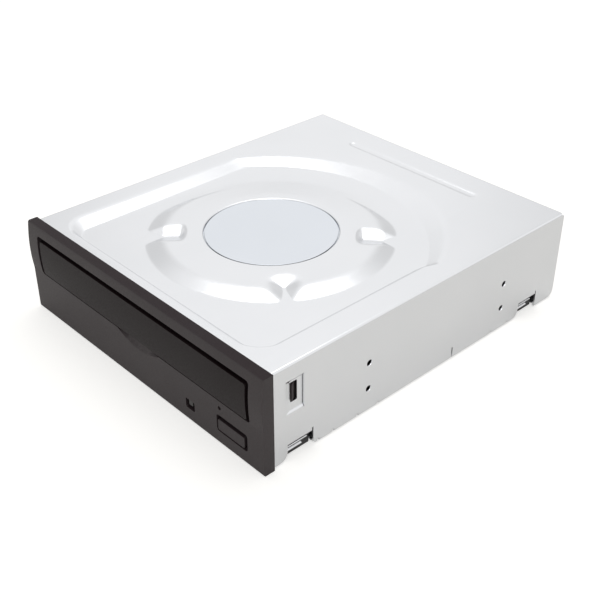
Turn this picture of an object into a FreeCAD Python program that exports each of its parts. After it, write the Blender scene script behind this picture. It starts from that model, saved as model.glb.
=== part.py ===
"""Half-height DVD drive, built as the pieces that it comes apart into.

Millimetres. X runs to the right seen from the front, the front faces -Y and Z is up.
The origin is the middle of the drive's footprint, level with the lowest edge of the bezel.
Lengths along Y are mostly given as distances behind the front edge of the case.
The tray is closed, and the lift frame that carries the spindle and pickup is down, clear of the tray.
"""
import FreeCAD
import Part
import math
import os

V = FreeCAD.Vector

# Overall sizes
CASE_WIDTH = 146.4
CASE_DEPTH = 164.6
BEZEL_HEIGHT = 42.0
BEZEL_DEPTH = 5.4
BEZEL_BULGE = 0.6
BEZEL_SIDE_LIP = 0.8
BEZEL_TOP_LIP = 0.5
FLOOR_GAP = 0.6
SHEET = 0.8
GAP = 0.3
RUNNING_FIT = 0.05

# Places that follow from the overall sizes
CASE_FRONT = BEZEL_DEPTH - (BEZEL_DEPTH + CASE_DEPTH) / 2
CASE_BACK = CASE_FRONT + CASE_DEPTH
CASE_HALF = CASE_WIDTH / 2
CASE_TOP = BEZEL_HEIGHT - BEZEL_TOP_LIP
WALL_IN = CASE_HALF - SHEET
PAN_TOP = FLOOR_GAP + SHEET
RIM_TOP = PAN_TOP + SHEET


def behind(distance):
    """The Y that lies this far behind the front edge of the case."""
    return CASE_FRONT + distance


# Mounting holes of the drive bay standard, M3
MOUNT_HOLE_R = 1.25
MOUNT_COLLAR_R = 2.3
MOUNT_COLLAR = 1.2
MOUNT_FIRST = 47.4
MOUNT_PITCH_Y = 79.25
MOUNT_LOW = 10.0
MOUNT_PITCH_Z = 11.84
MOUNT_BOTTOM_INSET = 3.35
MOUNT_BOTTOM_X = CASE_HALF - MOUNT_BOTTOM_INSET
MOUNT_YS = (behind(MOUNT_FIRST), behind(MOUNT_FIRST + MOUNT_PITCH_Y))
MOUNT_ZS = (FLOOR_GAP + MOUNT_LOW, FLOOR_GAP + MOUNT_LOW + MOUNT_PITCH_Z)

# Top cover pressings
COVER_BEND = 1.2
DISH_DEPTH = 2.3
DISH_RIM = dict(
    left=-63.0, right=61.2, front=4.3, corner_r=11.0, arc_y=67.0, arc_r=69.5, step=2.6, step_y=88.0,
)
DISH_FLOOR = dict(
    left=-55.0, right=59.0, front=6.2, corner_r=6.5, arc_y=58.2, arc_r=68.3, step=0.5, step_y=87.0,
)
PLATEAU_TOP_R = 44.5
PLATEAU_FOOT_R = 51.0
PLATEAU_DROP = 0.2
RAMP_ANGLES = (40, 230, 325)
RAMP_START_R = 33.5
RAMP_END_R = 38.6
RAMP_HALF = 0.8
RAMP_SIDE_SLOPE = 0.4
HUB_HOLE_R = 28.0
HUB_PLATE_LAP = 3.0
HUB_PLATE_T = 0.6
HUB_DISC_GAP = 0.6
HUB_DISC_SUNK = 0.2
BEAD_HALF = 36.0
BEAD_R = 2.2
BEAD_DEPTH = 0.5
BEAD_Y = 149.0
DISH_Z = CASE_TOP - DISH_DEPTH
PLATEAU_Z = CASE_TOP - PLATEAU_DROP

# Side wall cuts of the top cover
SNAP_RECESS = 0.6
SNAP_RECESS_Y = 14.6
SNAP_RECESS_Z = (20.3, 35.2)
SNAP_WINDOW_Y = (8.8, 12.0)
SNAP_WINDOW_Z = (24.7, 33.2)
NOTCH_TOP = 7.2
NOTCH_FRONT = (6.8, 18.6)
NOTCH_REAR = (139.2, 150.8)
SLIT = 0.6
SLIT_RISE = 1.4
EDGE_ROUND = 3.4
MID_SLIT_Y = 95.7
MID_SLIT_TOP = 5.6
TAB_REACH = 7.6
TAB_HALF = 5.0
FRONT_TAB_Y = 25.5
FRONT_TAB_HALF = 3.2
NICK = 1.0
REAR_EDGE = 13.0
VENT_COUNT = 7
VENT_PITCH = 5.0
VENT_W = 2.0
VENT_X = -50.0
VENT_Z = (20.0, 30.0)

# Bottom cover
PAN_MARGIN_X = 11.5
PAN_FRONT = 16.0
PAN_REAR_MARGIN = 7.0
PAN_SLOPE = 1.2
PAN_CORNER = 6.0
FLANGE_TOP = 6.4
FLANGE_Y = (5.0, 159.0)
FLANGE_INSET = 1.6
CASE_SCREW_R = 1.3
CASE_SCREW_HEAD_R = 2.6
CASE_SCREW_LENGTH = 7.0
PILLAR_R = 3.2
PILLAR_INSET = 6.9
PILLAR_YS = (behind(15.0), behind(152.0))

# Front bezel
FACE = 2.0
BEZEL_WALL = 1.6
BEZEL_EDGE = 0.5
BULGE_Z = (19.7, 29.0)
JAMB = 1.2
HOOK_T = 1.5
HOOK_LENGTH = 11.6
HOOK_BARB = 1.5
HOOK_CLEAR_Z = 0.6
LIP_X = 1.5
LIP_HALF = 13.5
LIP_DROP = 3.4
LIP_DEPTH = 1.1
LED_X = 32.8
LED_Z = 7.7
LED_W = 5.2
LED_H = 4.2
LED_CORNER = 0.6
LED_SUNK = 0.4
LED_FLANGE = 1.0
LED_PANE_W = 2.4
LED_PANE_H = 2.6
EJECT_HOLE_X = 50.2
EJECT_HOLE_Z = 16.5
EJECT_HOLE_R = 0.8
BUTTON_X = 56.8
BUTTON_Z = 9.4
BUTTON_W = 16.9
BUTTON_H = 7.5
BUTTON_GAP = 0.35
BUTTON_RIGHT_GAP = 1.9
BUTTON_TOP_GAP = 2.3
BUTTON_SUNK = 0.2
BUTTON_LIP = 0.65
BUTTON_FLANGE = 1.0
BUTTON_CORNER = 1.2
CAP_CORNER = 0.8
BUTTON_TRAVEL = 1.0
BEZEL_FLAT = CASE_FRONT - BEZEL_DEPTH + BEZEL_BULGE
FACE_BACK = BEZEL_FLAT + FACE
BEZEL_HALF = CASE_HALF + BEZEL_SIDE_LIP

# Tray and its door
FRAME_CLEAR = 3.0
FRAME_WALL = 2.5
FRAME_OUT = WALL_IN - FRAME_CLEAR
FRAME_IN = FRAME_OUT - FRAME_WALL
TRAY_SIDE_CLEAR = 0.4
TRAY_HALF = FRAME_IN - TRAY_SIDE_CLEAR
TRAY_BOTTOM = 26.0
TRAY_FLOOR = 28.2
TRAY_RIM = 30.8
TRAY_END = 157.0
TRAY_TRAVEL = 138.0
DISC_R = 60.0
DISC_CLEAR = 1.0
POCKET_R = DISC_R + DISC_CLEAR
SMALL_POCKET_R = 40.8
SMALL_POCKET_DEPTH = 0.8
HUB_X = 0.0
HUB_Y = behind(64.8)
WINDOW_HALF = 19.0
WINDOW_REACH = 19.5
WINDOW_END = 140.0
DOOR_SIDE_GAP = 1.7
DOOR_TOP_GAP = 2.0
DOOR_LOW_GAP = 0.45
DOOR_CORNER = 1.2
OPENING_SIDE = 0.5
OPENING_Z = (19.7, 37.7)
OPENING_CORNER = 1.5
OPENING_HALF = TRAY_HALF + OPENING_SIDE
DOOR_T = 2.2
DOOR_BACK = BEZEL_FLAT + DOOR_T
DOOR_PEG_X = 50.0
DOOR_PEG_R = 1.5
DOOR_PEG = 4.0

# Loader gears, pulleys and motor
MODULE_RACK = 1.0
MODULE_GEAR = 0.6
PRESSURE = math.radians(20)
ADDENDUM = 0.8
DEDENDUM = 1.1
BACKLASH = 0.12
FLANK_START = 1.001
PINION_TEETH = 14
WHEEL_TEETH = 40
SMALL_TEETH = 12
RACK_INSET = 14.5
RACK_BACK = 3.0
RACK_Z = 21.2
RACK_START = 8.0
TRAY_GEAR_Y = 16.0
TRAIN_ANGLE = math.radians(-10)
BELT_SPAN = 24.0
BELT = 1.2
BELT_CLEAR = 0.05
PULLEY_R = 9.0
PULLEY_FLANGE = 1.2
MOTOR_PULLEY_R = 2.6
PULLEY_T = 3.0
AXLE_R = 1.5
HUB_R = 3.0
MOTOR_R = 10.0
MOTOR_SHAFT_R = 0.75
MOTOR_SHAFT_IN = 2.5
MOTOR_BOTTOM = 4.7
MOTOR_SCREW_R = 0.9
MOTOR_SCREW_HEAD_R = 1.6
MOTOR_SCREW_HEAD = 0.6
MOTOR_SCREW_RING = 7.0
MOTOR_SCREW_ANGLES = (-60, 60)
BASE_T = 2.0
BASE_TOP = 14.0
BASE_BOTTOM = BASE_TOP - BASE_T
PULLEY_LIFT = 0.5
PULLEY_Z = BASE_TOP + PULLEY_LIFT
WHEEL_Z = (18.0, 20.6)
PINION_TOP = 25.2
RACK_X = -(TRAY_HALF - RACK_INSET)
PINION_R = MODULE_RACK * PINION_TEETH / 2
WHEEL_R = MODULE_GEAR * WHEEL_TEETH / 2
SMALL_R = MODULE_GEAR * SMALL_TEETH / 2
TRAY_GEAR_AT = V(RACK_X + PINION_R, behind(TRAY_GEAR_Y), 0)
TRAIN_DIRECTION = V(math.cos(TRAIN_ANGLE), math.sin(TRAIN_ANGLE), 0)
PULLEY_AT = TRAY_GEAR_AT + TRAIN_DIRECTION * (WHEEL_R + SMALL_R)
MOTOR_AT = PULLEY_AT + V(BELT_SPAN, 0, 0)

# Main frame
FRAME_FRONT = 1.0
FRAME_END = 158.0
BASE_END = 30.6
SIDE_FLOOR_IN = 45.8
RAIL_Z = 2.3
RAIL_REACH = 3.4
UPPER_RAIL_END = 40.0
UPPER_RAIL_T = 1.5
WALL_FOOT = 10.0
GUIDE_WALL_Y = 29.0
GUIDE_WALL_TOP = 20.4
LEDGE_Z = (2.6, 4.1)
LEDGE_REACH = 4.0
REAR_BAR = 4.0
REAR_BAR_TOP = 20.0

# Lift frame, with its pivot at the rear and its cam pins at the front, given raised
LIFT_ANGLE = 5.2
PIVOT_Y = behind(150.0)
PIVOT_Z = 17.0
PIVOT_R = 2.0
PIVOT_PIN = 3.6
PIVOT_BOSS = 4.0
PIVOT_SIDE = 0.8
LIFT_HALF = 45.0
LIFT_FRONT = 36.0
LIFT_END = 152.8
LIFT_Z = (14.5, 19.5)
LIFT_CORNER = 3.0
LIFT_HOLE_HALF = 36.0
LIFT_HOLE_Y = (44.0, 146.0)
CAM_PIN_R = 1.5
CAM_PIN_Z = 17.9
CAM_PIN_XS = (-28.0, 34.0)
CAM_CLEAR = 0.35
CAM_TRAVEL = 15.0
CAM_T = 2.6
CAM_Z = (4.4, 21.0)
CAM_X = (-46.5, 37.5)
STUD_R = 1.5
STUD_XS = (-8.0, 12.0)
STUD_Z = 12.4
CAM_SIDE_CLEAR = 0.5
CAM_Y = behind(BASE_END + CAM_SIDE_CLEAR)

# Traverse plate and dampers, given raised
PLATE_Z = 21.0
PLATE_T = 1.2
PLATE_CORNER = 3.0
PLATE_HALF = 45.0
PLATE_Y = (42.0, 145.5)
PLATE_HOLE_HALF = 28.0
PLATE_HOLE_Y = (78.0, 144.0)
DAMPER_X = 40.5
DAMPER_YS = (behind(49.0), behind(140.0))
DAMPER_R = 4.0
DAMPER_NECK_R = 2.6
DAMPER_BORE_R = 1.4
DAMPER_LIP = 1.3
DAMPER_SCREW_R = 1.2
DAMPER_SCREW_HEAD_R = 3.0
DAMPER_SCREW_HEAD = 1.0

# Spindle, given raised
SPINDLE_BASE_R = 20.0
SPINDLE_BASE_T = 1.2
SPINDLE_BASE_END = 79.4
SPINDLE_HOLE_R = 16.0
SPINDLE_SCREW_RING = 18.2
SPINDLE_SCREW_ANGLES = (30, 150, 270)
SPINDLE_SCREW_R = 0.8
SPINDLE_SCREW_HEAD_R = 1.5
SPINDLE_SCREW_HEAD = 0.8
BEARING_R = 3.2
BEARING_TOP = 25.0
SHAFT_R = 1.5
STATOR_R = 10.4
STATOR_Z = (21.8, 24.4)
STATOR_POLES = 9
STATOR_SHOE = 1.5
STATOR_ARM = 2.0
STATOR_GAP = 1.0
ROTOR_R = 13.5
ROTOR_WALL = 0.8
ROTOR_Z = (21.8, 26.2)
MAGNET_T = 1.6
TURNTABLE_R = 15.0
TURNTABLE_TOP = 29.6
TURNTABLE_CLEAR = 1.0
PAD_R = 11.8
PAD_T = 0.8
CONE_R = 7.4
CONE_TOP_R = 6.2
CONE_H = 2.8

# Pickup and its drive, given raised
LENS_AT = 24.0
PICKUP_TRAVEL = 33.8
PICKUP_STOP_GAP = 0.2
PICKUP_HALF = 25.0
PICKUP_FRONT = 8.0
PICKUP_REAR = 20.0
PICKUP_Z = (15.2, 24.4)
LENS_Y = HUB_Y + LENS_AT
PICKUP_Y0 = LENS_Y - PICKUP_FRONT
PICKUP_Y1 = LENS_Y + PICKUP_REAR
ROD_R = 1.5
ROD_X = 21.5
ROD_Z = 18.0
CLIP_HALF = 2.2
CLIP_T = 2.6
ROD_END = PICKUP_Y1 + PICKUP_TRAVEL + PICKUP_STOP_GAP + CLIP_T
ROD_Y = (77.0, ROD_END - CASE_FRONT)
ACTUATOR_HALF_X = 13.0
ACTUATOR_HALF_Y = 7.0
ACTUATOR_T = 2.6
ACTUATOR_CORNER = 1.0
HOLDER_HALF_X = 5.0
HOLDER_HALF_Y = 4.4
HOLDER_LIFT = 0.8
HOLDER_H = 2.2
HOLDER_CLEAR = 1.0
LENS_R = 2.4
LENS_H = 0.7
LENS_SEAT = 1.0
FOCUS_TRAVEL = 0.5
SCREW_X = 30.6
SCREW_R = 1.5
SCREW_CORE_R = 1.15
SCREW_PITCH = 2.0
SCREW_PLAIN_TURNS = 2
SCREW_Y = (81.0, 130.0)
SLED_MOTOR_R = 5.0
SLED_MOTOR_L = 13.4
BRACKET_T = 1.2
BRACKET_HALF = 3.4
BRACKET_STRIP = 0.8
FOLLOWER_L = 8.0
FOLLOWER_SETBACK = 2.5
FOLLOWER_Z = (15.6, 19.8)
FOLLOWER_FIT = 0.1

# Clamper
BRIDGE_Z = 33.3
BRIDGE_T = 1.0
BRIDGE_HALF_Y = 14.0
BRIDGE_RING_R = 21.0
BRIDGE_HOLE_R = 15.6
BRIDGE_SCREW_R = 0.9
BRIDGE_SCREW_HEAD_R = 1.7
BRIDGE_SCREW_HEAD = 0.8
BRIDGE_SCREW_LENGTH = 5.0
CLAMPER_R = 15.0
CLAMPER_BOTTOM = 31.4
CLAMPER_FLANGE_R = 18.0
CLAMPER_FLANGE_T = 1.2
CLAMPER_CUP_R = 8.2
CLAMPER_CUP = 2.2
YOKE_MAGNET_R = 10.0
YOKE_MAGNET_BORE = 4.0
YOKE_MAGNET_T = 1.6
YOKE_CAP_T = 0.8
YOKE_CAP_REACH = 2.0

# Main board and what it carries
BOARD_HALF = 58.0
BOARD_FRONT = 86.0
BOARD_REAR_MARGIN = 2.6
BOARD_Z = 4.4
BOARD_T = 1.2
BOARD_CORNER = 2.0
BOARD_SCREW_R = 1.0
BOARD_SCREW_HEAD_R = 2.2
BOARD_SCREW_HEAD = 1.0
BOARD_SCREW_LENGTH = 4.0
FRONT_SCREW_HEAD = 0.8
BOARD_SCREW_XS = (-53.0, 53.0)
BOARD_SCREW_YS = (behind(92.0), behind(150.0))
STANDOFF_R = 2.8
SATA_X = (14.0, 52.0)
SATA_DEPTH = 9.4
SATA_H = 6.0
SATA_WALL = 1.0
SATA_FLOOR = 1.4
SATA_TONGUE = 1.2
SATA_TONGUES = ((17.0, 28.0), (30.5, 49.0))
SATA_STRIP_W = 0.6
SATA_STRIP_T = 0.15
SATA_PITCH = 1.27
CHIP_T = 1.4
CONTROLLER = 16.0
CONTROLLER_AT = (-28.0, 122.0)
MEMORY = (8.0, 14.0)
MEMORY_AT = (-28.0, 142.0)
DRIVER = (12.0, 10.0)
DRIVER_AT = (26.0, 112.0)
CAN_R = 2.5
CAN_H = 5.0
CAN_SPOTS = ((-50.5, 104.0), (-50.5, 112.0), (50.5, 104.0), (50.5, 112.0), (50.5, 120.0))
RIBBON_T = 0.3
RIBBON_Z = 6.6
SOCKET_H = 2.0
SOCKET_DEPTH = 5.0
SOCKET_MARGIN = 2.0
PICKUP_RIBBON_W = 20.0
PICKUP_RIBBON_Y = (98.0, 136.0, 104.0)
MOTOR_RIBBON_X = -5.0
MOTOR_RIBBON_W = 8.0
MOTOR_RIBBON_Y = (66.0, 72.0, 86.5)
FRONT_RIBBON_X = 40.0
FRONT_RIBBON_W = 8.0
FRONT_RIBBON_Y = (14.0, 18.5, 76.0, 90.0)
BOARD_TOP = BOARD_Z + BOARD_T

# Front board, switch and light
FRONT_BOARD_X = (-18.0, 62.0)
FRONT_BOARD_Y = (2.4, 14.0)
FRONT_BOARD_Z = (3.4, 4.4)
FRONT_POSTS = ((22.0, 10.0), (50.0, 11.0))
FRONT_POST_R = 2.0
FRONT_SOCKET_Y = 9.0
SWITCH_HALF = 3.5
SWITCH_Y = (5.0, 10.0)
SWITCH_TOP = 11.0
PLUNGER_R = 1.2
PLUNGER_Z = 9.0
PLUNGER_END = 5.8
PLUNGER_START = 1.8
LED_BODY = 3.6
LED_BODY_Y = (-1.0, 3.0)
LED_LEG = 0.6
LED_LEG_X = 1.0


def box(x0, x1, y0, y1, z0, z1):
    return Part.makeBox(x1 - x0, y1 - y0, z1 - z0, V(x0, y0, z0))


def rod(radius, start, end):
    return Part.makeCylinder(radius, (end - start).Length, start, end - start)


def post(radius, x, y, z0, z1):
    return rod(radius, V(x, y, z0), V(x, y, z1))


def ring(outer, inner, x, y, z0, z1):
    return post(outer, x, y, z0, z1).cut(post(inner, x, y, z0, z1))


def joined(*shapes):
    return shapes[0].multiFuse(list(shapes[1:])).removeSplitter()


def group(shapes):
    return Part.makeCompound(list(shapes))


def outline(start, *steps):
    """A closed or open wire: a step is the next point, or the middle and end of an arc."""
    edges = []
    here = start
    for step in steps:
        if isinstance(step, tuple):
            edges.append(Part.Arc(here, step[0], step[1]).toShape())
            here = step[1]
        else:
            edges.append(Part.makeLine(here, step))
            here = step
    return Part.Wire(edges)


def corner(at, start, end):
    """A quarter-round step from start to end about the corner's centre."""
    towards = ((start - at) + (end - at)).normalize()
    return at + towards * (start - at).Length, end


def prism(wire, direction):
    return Part.Face(wire).extrude(direction)


def between(first, second):
    return Part.makeLoft([first, second], True, True)


def rounded(x0, x1, y0, y1, radius, z):
    """A rectangle with round corners at height z."""
    a, b, c, d = x0 + radius, x1 - radius, y0 + radius, y1 - radius
    return outline(
        V(a, y0, z),
        V(b, y0, z),
        corner(V(b, c, z), V(b, y0, z), V(x1, c, z)),
        V(x1, d, z),
        corner(V(b, d, z), V(x1, d, z), V(b, y1, z)),
        V(a, y1, z),
        corner(V(a, d, z), V(a, y1, z), V(x0, d, z)),
        V(x0, c, z),
        corner(V(a, c, z), V(x0, c, z), V(a, y0, z)),
    )


def rounded_plate(x0, x1, y0, y1, radius, z0, z1):
    return prism(rounded(x0, x1, y0, y1, radius, z0), V(0, 0, z1 - z0))


def pressed(sheet, hollow, inward):
    """Sheet metal with this hollow pressed into it, one sheet thick all over."""
    return sheet.fuse(hollow.translated(inward)).cut(hollow)


def mirrored(shape):
    return shape.mirror(V(0, 0, 0), V(1, 0, 0))


def both_sides(shape):
    return [shape, mirrored(shape)]


def lowered(shape):
    """A piece of the lift, drawn raised and level, turned down about the pivot."""
    return shape.rotated(V(0, PIVOT_Y, PIVOT_Z), V(1, 0, 0), LIFT_ANGLE)


def lowered_height(y, z):
    """Height that a point of the raised lift comes down to."""
    angle = math.radians(LIFT_ANGLE)
    return PIVOT_Z + (y - PIVOT_Y) * math.sin(angle) + (z - PIVOT_Z) * math.cos(angle)


def screw(x, y, seat, shank_r, head_r, length, head, up=1):
    """A screw whose head stands on the seat, with its shank going the other way."""
    return joined(
        rod(head_r, V(x, y, seat), V(x, y, seat + up * head)),
        rod(shank_r, V(x, y, seat), V(x, y, seat - up * length)),
    )


# Top cover and hub plate


def arch(half, top, bend, bottom):
    """The cover's cross-section outline, open side down."""
    y = CASE_FRONT
    return outline(
        V(-half, y, bottom),
        V(-half, y, top - bend),
        corner(V(-half + bend, y, top - bend), V(-half, y, top - bend), V(-half + bend, y, top)),
        V(half - bend, y, top),
        corner(V(half - bend, y, top - bend), V(half - bend, y, top), V(half, y, top - bend)),
        V(half, y, bottom),
        V(-half, y, bottom),
    )


def dish_outline(z, left, right, front, corner_r, arc_y, arc_r, step, step_y):
    """The D-shaped outline of the sunk panel at one height."""
    y0 = behind(front)
    turn = y0 + corner_r
    arc_right = right + step
    right_y = behind(arc_y + math.sqrt(arc_r ** 2 - arc_right ** 2))
    left_y = behind(arc_y + math.sqrt(arc_r ** 2 - left ** 2))
    return outline(
        V(left + corner_r, y0, z),
        V(right - corner_r, y0, z),
        corner(V(right - corner_r, turn, z), V(right - corner_r, y0, z), V(right, turn, z)),
        V(right, behind(step_y), z),
        V(arc_right, right_y, z),
        (V(0, behind(arc_y + arc_r), z), V(left, left_y, z)),
        V(left, turn, z),
        corner(V(left + corner_r, turn, z), V(left, turn, z), V(left + corner_r, y0, z)),
    )


def dish():
    return between(dish_outline(CASE_TOP, **DISH_RIM), dish_outline(DISH_Z, **DISH_FLOOR))


def ramp(angle, margin):
    """The space in one notch of the plateau's edge: a short ramp down, then a channel with leaning sides."""
    radial = V(math.cos(math.radians(angle)), math.sin(math.radians(angle)), 0)
    across = V(-radial.y, radial.x, 0)
    roof = CASE_TOP
    foot_half = RAMP_HALF + margin

    def gate(radius, low):
        middle = V(HUB_X, HUB_Y, 0) + radial * radius
        roof_half = foot_half + (roof - low) / RAMP_SIDE_SLOPE
        left_foot = middle - across * foot_half + V(0, 0, low)
        right_foot = middle + across * foot_half + V(0, 0, low)
        right_roof = middle + across * roof_half + V(0, 0, roof)
        left_roof = middle - across * roof_half + V(0, 0, roof)
        return outline(left_foot, right_foot, right_roof, left_roof, left_foot)

    slope = between(gate(RAMP_START_R, PLATEAU_Z), gate(RAMP_END_R, DISH_Z))
    channel = between(gate(RAMP_END_R, DISH_Z), gate(PLATEAU_FOOT_R, DISH_Z))
    return slope.fuse(channel)


def bead_outline(radius, z):
    y = behind(BEAD_Y)
    return outline(
        V(-BEAD_HALF, y - radius, z),
        V(BEAD_HALF, y - radius, z),
        (V(BEAD_HALF + radius, y, z), V(BEAD_HALF, y + radius, z)),
        V(-BEAD_HALF, y + radius, z),
        (V(-BEAD_HALF - radius, y, z), V(-BEAD_HALF, y - radius, z)),
    )


def cover_top_pressings(cover):
    down = V(0, 0, -SHEET)
    cover = pressed(cover, dish(), down)
    hill = Part.makeCone(PLATEAU_FOOT_R, PLATEAU_TOP_R, PLATEAU_Z - DISH_Z, V(HUB_X, HUB_Y, DISH_Z))
    cover = cover.fuse(hill).cut(hill.translated(down))
    hill_space = hill.fuse(hill.translated(down))
    for angle in RAMP_ANGLES:
        floor = ramp(angle, SHEET / 2).translated(down).common(hill_space)
        cover = cover.fuse(floor).cut(ramp(angle, 0))
    bead = between(bead_outline(BEAD_R, CASE_TOP), bead_outline(BEAD_R - BEAD_DEPTH, CASE_TOP - BEAD_DEPTH))
    return pressed(cover, bead, down)


def snap_recess():
    """The shallow hollow round the bezel's snap window on the right wall."""

    def frame(x, inset):
        y0, y1 = CASE_FRONT, behind(SNAP_RECESS_Y) - inset
        z0, z1 = SNAP_RECESS_Z[0] + inset, SNAP_RECESS_Z[1] - inset
        return outline(V(x, y0, z0), V(x, y1, z0), V(x, y1, z1), V(x, y0, z1), V(x, y0, z0))

    return between(frame(CASE_HALF, 0), frame(CASE_HALF - SNAP_RECESS, SNAP_RECESS))


def side_cut(*points):
    """A hole through the right wall, from an outline of points and arcs in the Y and Z directions."""
    return prism(outline(*points), V(2 * SHEET, 0, 0))


def side_point(distance, z):
    return V(WALL_IN - SHEET / 2, behind(distance), z)


def front_notch():
    start, end = NOTCH_FRONT
    low = FLOOR_GAP
    below = low - SHEET
    round_start = side_point(start - EDGE_ROUND, low)
    round_end = side_point(start, low + EDGE_ROUND)
    foot_start = side_point(end + SLIT, low + EDGE_ROUND / 2)
    foot_end = side_point(end + SLIT + EDGE_ROUND / 2, low)
    return side_cut(
        side_point(start - EDGE_ROUND, below),
        round_start,
        corner(side_point(start - EDGE_ROUND, low + EDGE_ROUND), round_start, round_end),
        side_point(start, NOTCH_TOP),
        side_point(end, NOTCH_TOP),
        side_point(end, NOTCH_TOP + SLIT_RISE),
        side_point(end + SLIT, NOTCH_TOP + SLIT_RISE),
        foot_start,
        corner(side_point(end + SLIT + EDGE_ROUND / 2, low + EDGE_ROUND / 2), foot_start, foot_end),
        side_point(end + SLIT + EDGE_ROUND / 2, below),
        side_point(start - EDGE_ROUND, below),
    )


def rear_notch():
    start, end = NOTCH_REAR
    low = FLOOR_GAP
    below = low - SHEET
    round_start = side_point(start - EDGE_ROUND, low)
    round_end = side_point(start, low + EDGE_ROUND)
    return side_cut(
        side_point(start - EDGE_ROUND, below),
        round_start,
        corner(side_point(start - EDGE_ROUND, low + EDGE_ROUND), round_start, round_end),
        side_point(start, NOTCH_TOP),
        side_point(end, NOTCH_TOP),
        side_point(end, NOTCH_TOP + SLIT_RISE),
        side_point(end + SLIT, NOTCH_TOP + SLIT_RISE),
        side_point(end + SLIT, below),
        side_point(start - EDGE_ROUND, below),
    )


def tab_spans():
    """Start and end, along Y, of each tab turned in at the foot of a side wall."""
    spans = [(y - TAB_HALF, y + TAB_HALF) for y in MOUNT_YS]
    spans.append((behind(FRONT_TAB_Y - FRONT_TAB_HALF), behind(FRONT_TAB_Y + FRONT_TAB_HALF)))
    return spans


def side_wall_cuts():
    low = FLOOR_GAP - SHEET
    outside = CASE_HALF + SHEET
    inside = WALL_IN - SHEET / 2
    window = box(
        inside - SNAP_RECESS, outside,
        behind(SNAP_WINDOW_Y[0]), behind(SNAP_WINDOW_Y[1]),
        SNAP_WINDOW_Z[0], SNAP_WINDOW_Z[1],
    )
    slit = box(inside, outside, behind(MID_SLIT_Y), behind(MID_SLIT_Y) + SLIT, low, MID_SLIT_TOP)
    cuts = [window, slit, front_notch(), rear_notch()]
    for start, end in tab_spans():
        cuts.append(box(inside, outside, start - NICK, start, low, PAN_TOP + NICK / 2))
        cuts.append(box(inside, outside, end, end + NICK, low, PAN_TOP + NICK / 2))
    rear_corner = box(inside, outside, CASE_BACK - EDGE_ROUND, CASE_BACK, low, FLOOR_GAP + EDGE_ROUND)
    rear_round = rod(
        EDGE_ROUND,
        V(inside, CASE_BACK - EDGE_ROUND, FLOOR_GAP + EDGE_ROUND),
        V(outside, CASE_BACK - EDGE_ROUND, FLOOR_GAP + EDGE_ROUND),
    )
    cuts.append(rear_corner.cut(rear_round))
    return cuts


def top_cover():
    inner_bend = COVER_BEND - SHEET
    along = V(0, CASE_DEPTH, 0)
    cover = prism(arch(CASE_HALF, CASE_TOP, COVER_BEND, FLOOR_GAP), along)
    cover = cover.cut(prism(arch(WALL_IN, CASE_TOP - SHEET, inner_bend, FLOOR_GAP - SHEET), along))
    cover = cover_top_pressings(cover)
    cover = pressed(cover, snap_recess(), V(-SHEET, 0, 0))
    cover = pressed(cover, mirrored(snap_recess()), V(SHEET, 0, 0))
    rear = box(-WALL_IN, WALL_IN, CASE_BACK - SHEET, CASE_BACK, REAR_EDGE, CASE_TOP - SHEET / 2)
    extras = [rear]
    holes = [post(HUB_HOLE_R, HUB_X, HUB_Y, PLATEAU_Z - 2 * SHEET, PLATEAU_Z + SHEET)]
    for start, end in tab_spans():
        tab = box(CASE_HALF - TAB_REACH, WALL_IN + SHEET / 2, start, end, FLOOR_GAP, PAN_TOP)
        extras.extend(both_sides(tab))
    for y in MOUNT_YS:
        collar = post(MOUNT_COLLAR_R, MOUNT_BOTTOM_X, y, FLOOR_GAP, PAN_TOP + MOUNT_COLLAR)
        hole = post(MOUNT_HOLE_R, MOUNT_BOTTOM_X, y, FLOOR_GAP - SHEET, PAN_TOP + 2 * MOUNT_COLLAR)
        extras.extend(both_sides(collar))
        holes.extend(both_sides(hole))
        for z in MOUNT_ZS:
            collar = rod(MOUNT_COLLAR_R, V(WALL_IN - MOUNT_COLLAR, y, z), V(CASE_HALF, y, z))
            hole = rod(MOUNT_HOLE_R, V(WALL_IN - 2 * MOUNT_COLLAR, y, z), V(CASE_HALF + SHEET, y, z))
            extras.extend(both_sides(collar))
            holes.extend(both_sides(hole))
    for cut in side_wall_cuts():
        holes.extend(both_sides(cut))
    for index in range(VENT_COUNT):
        x = VENT_X + index * VENT_PITCH
        holes.append(box(x, x + VENT_W, CASE_BACK - 2 * SHEET, CASE_BACK + SHEET, VENT_Z[0], VENT_Z[1]))
    return joined(cover, *extras).cut(holes)


def hub_plate():
    """The round plate that closes the hole in the plateau from below, with a disc that fills the hole."""
    top = PLATEAU_Z - SHEET
    plate = post(HUB_HOLE_R + HUB_PLATE_LAP, HUB_X, HUB_Y, top - HUB_PLATE_T, top)
    disc = post(HUB_HOLE_R - HUB_DISC_GAP, HUB_X, HUB_Y, top, PLATEAU_Z - HUB_DISC_SUNK)
    return joined(plate, disc)


# Bottom cover and its screws


def pillar_spots():
    """Where the frame stands on the bottom cover and is screwed to it."""
    x = WALL_IN - PILLAR_INSET
    return [(side * x, y) for side in (-1, 1) for y in PILLAR_YS]


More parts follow.
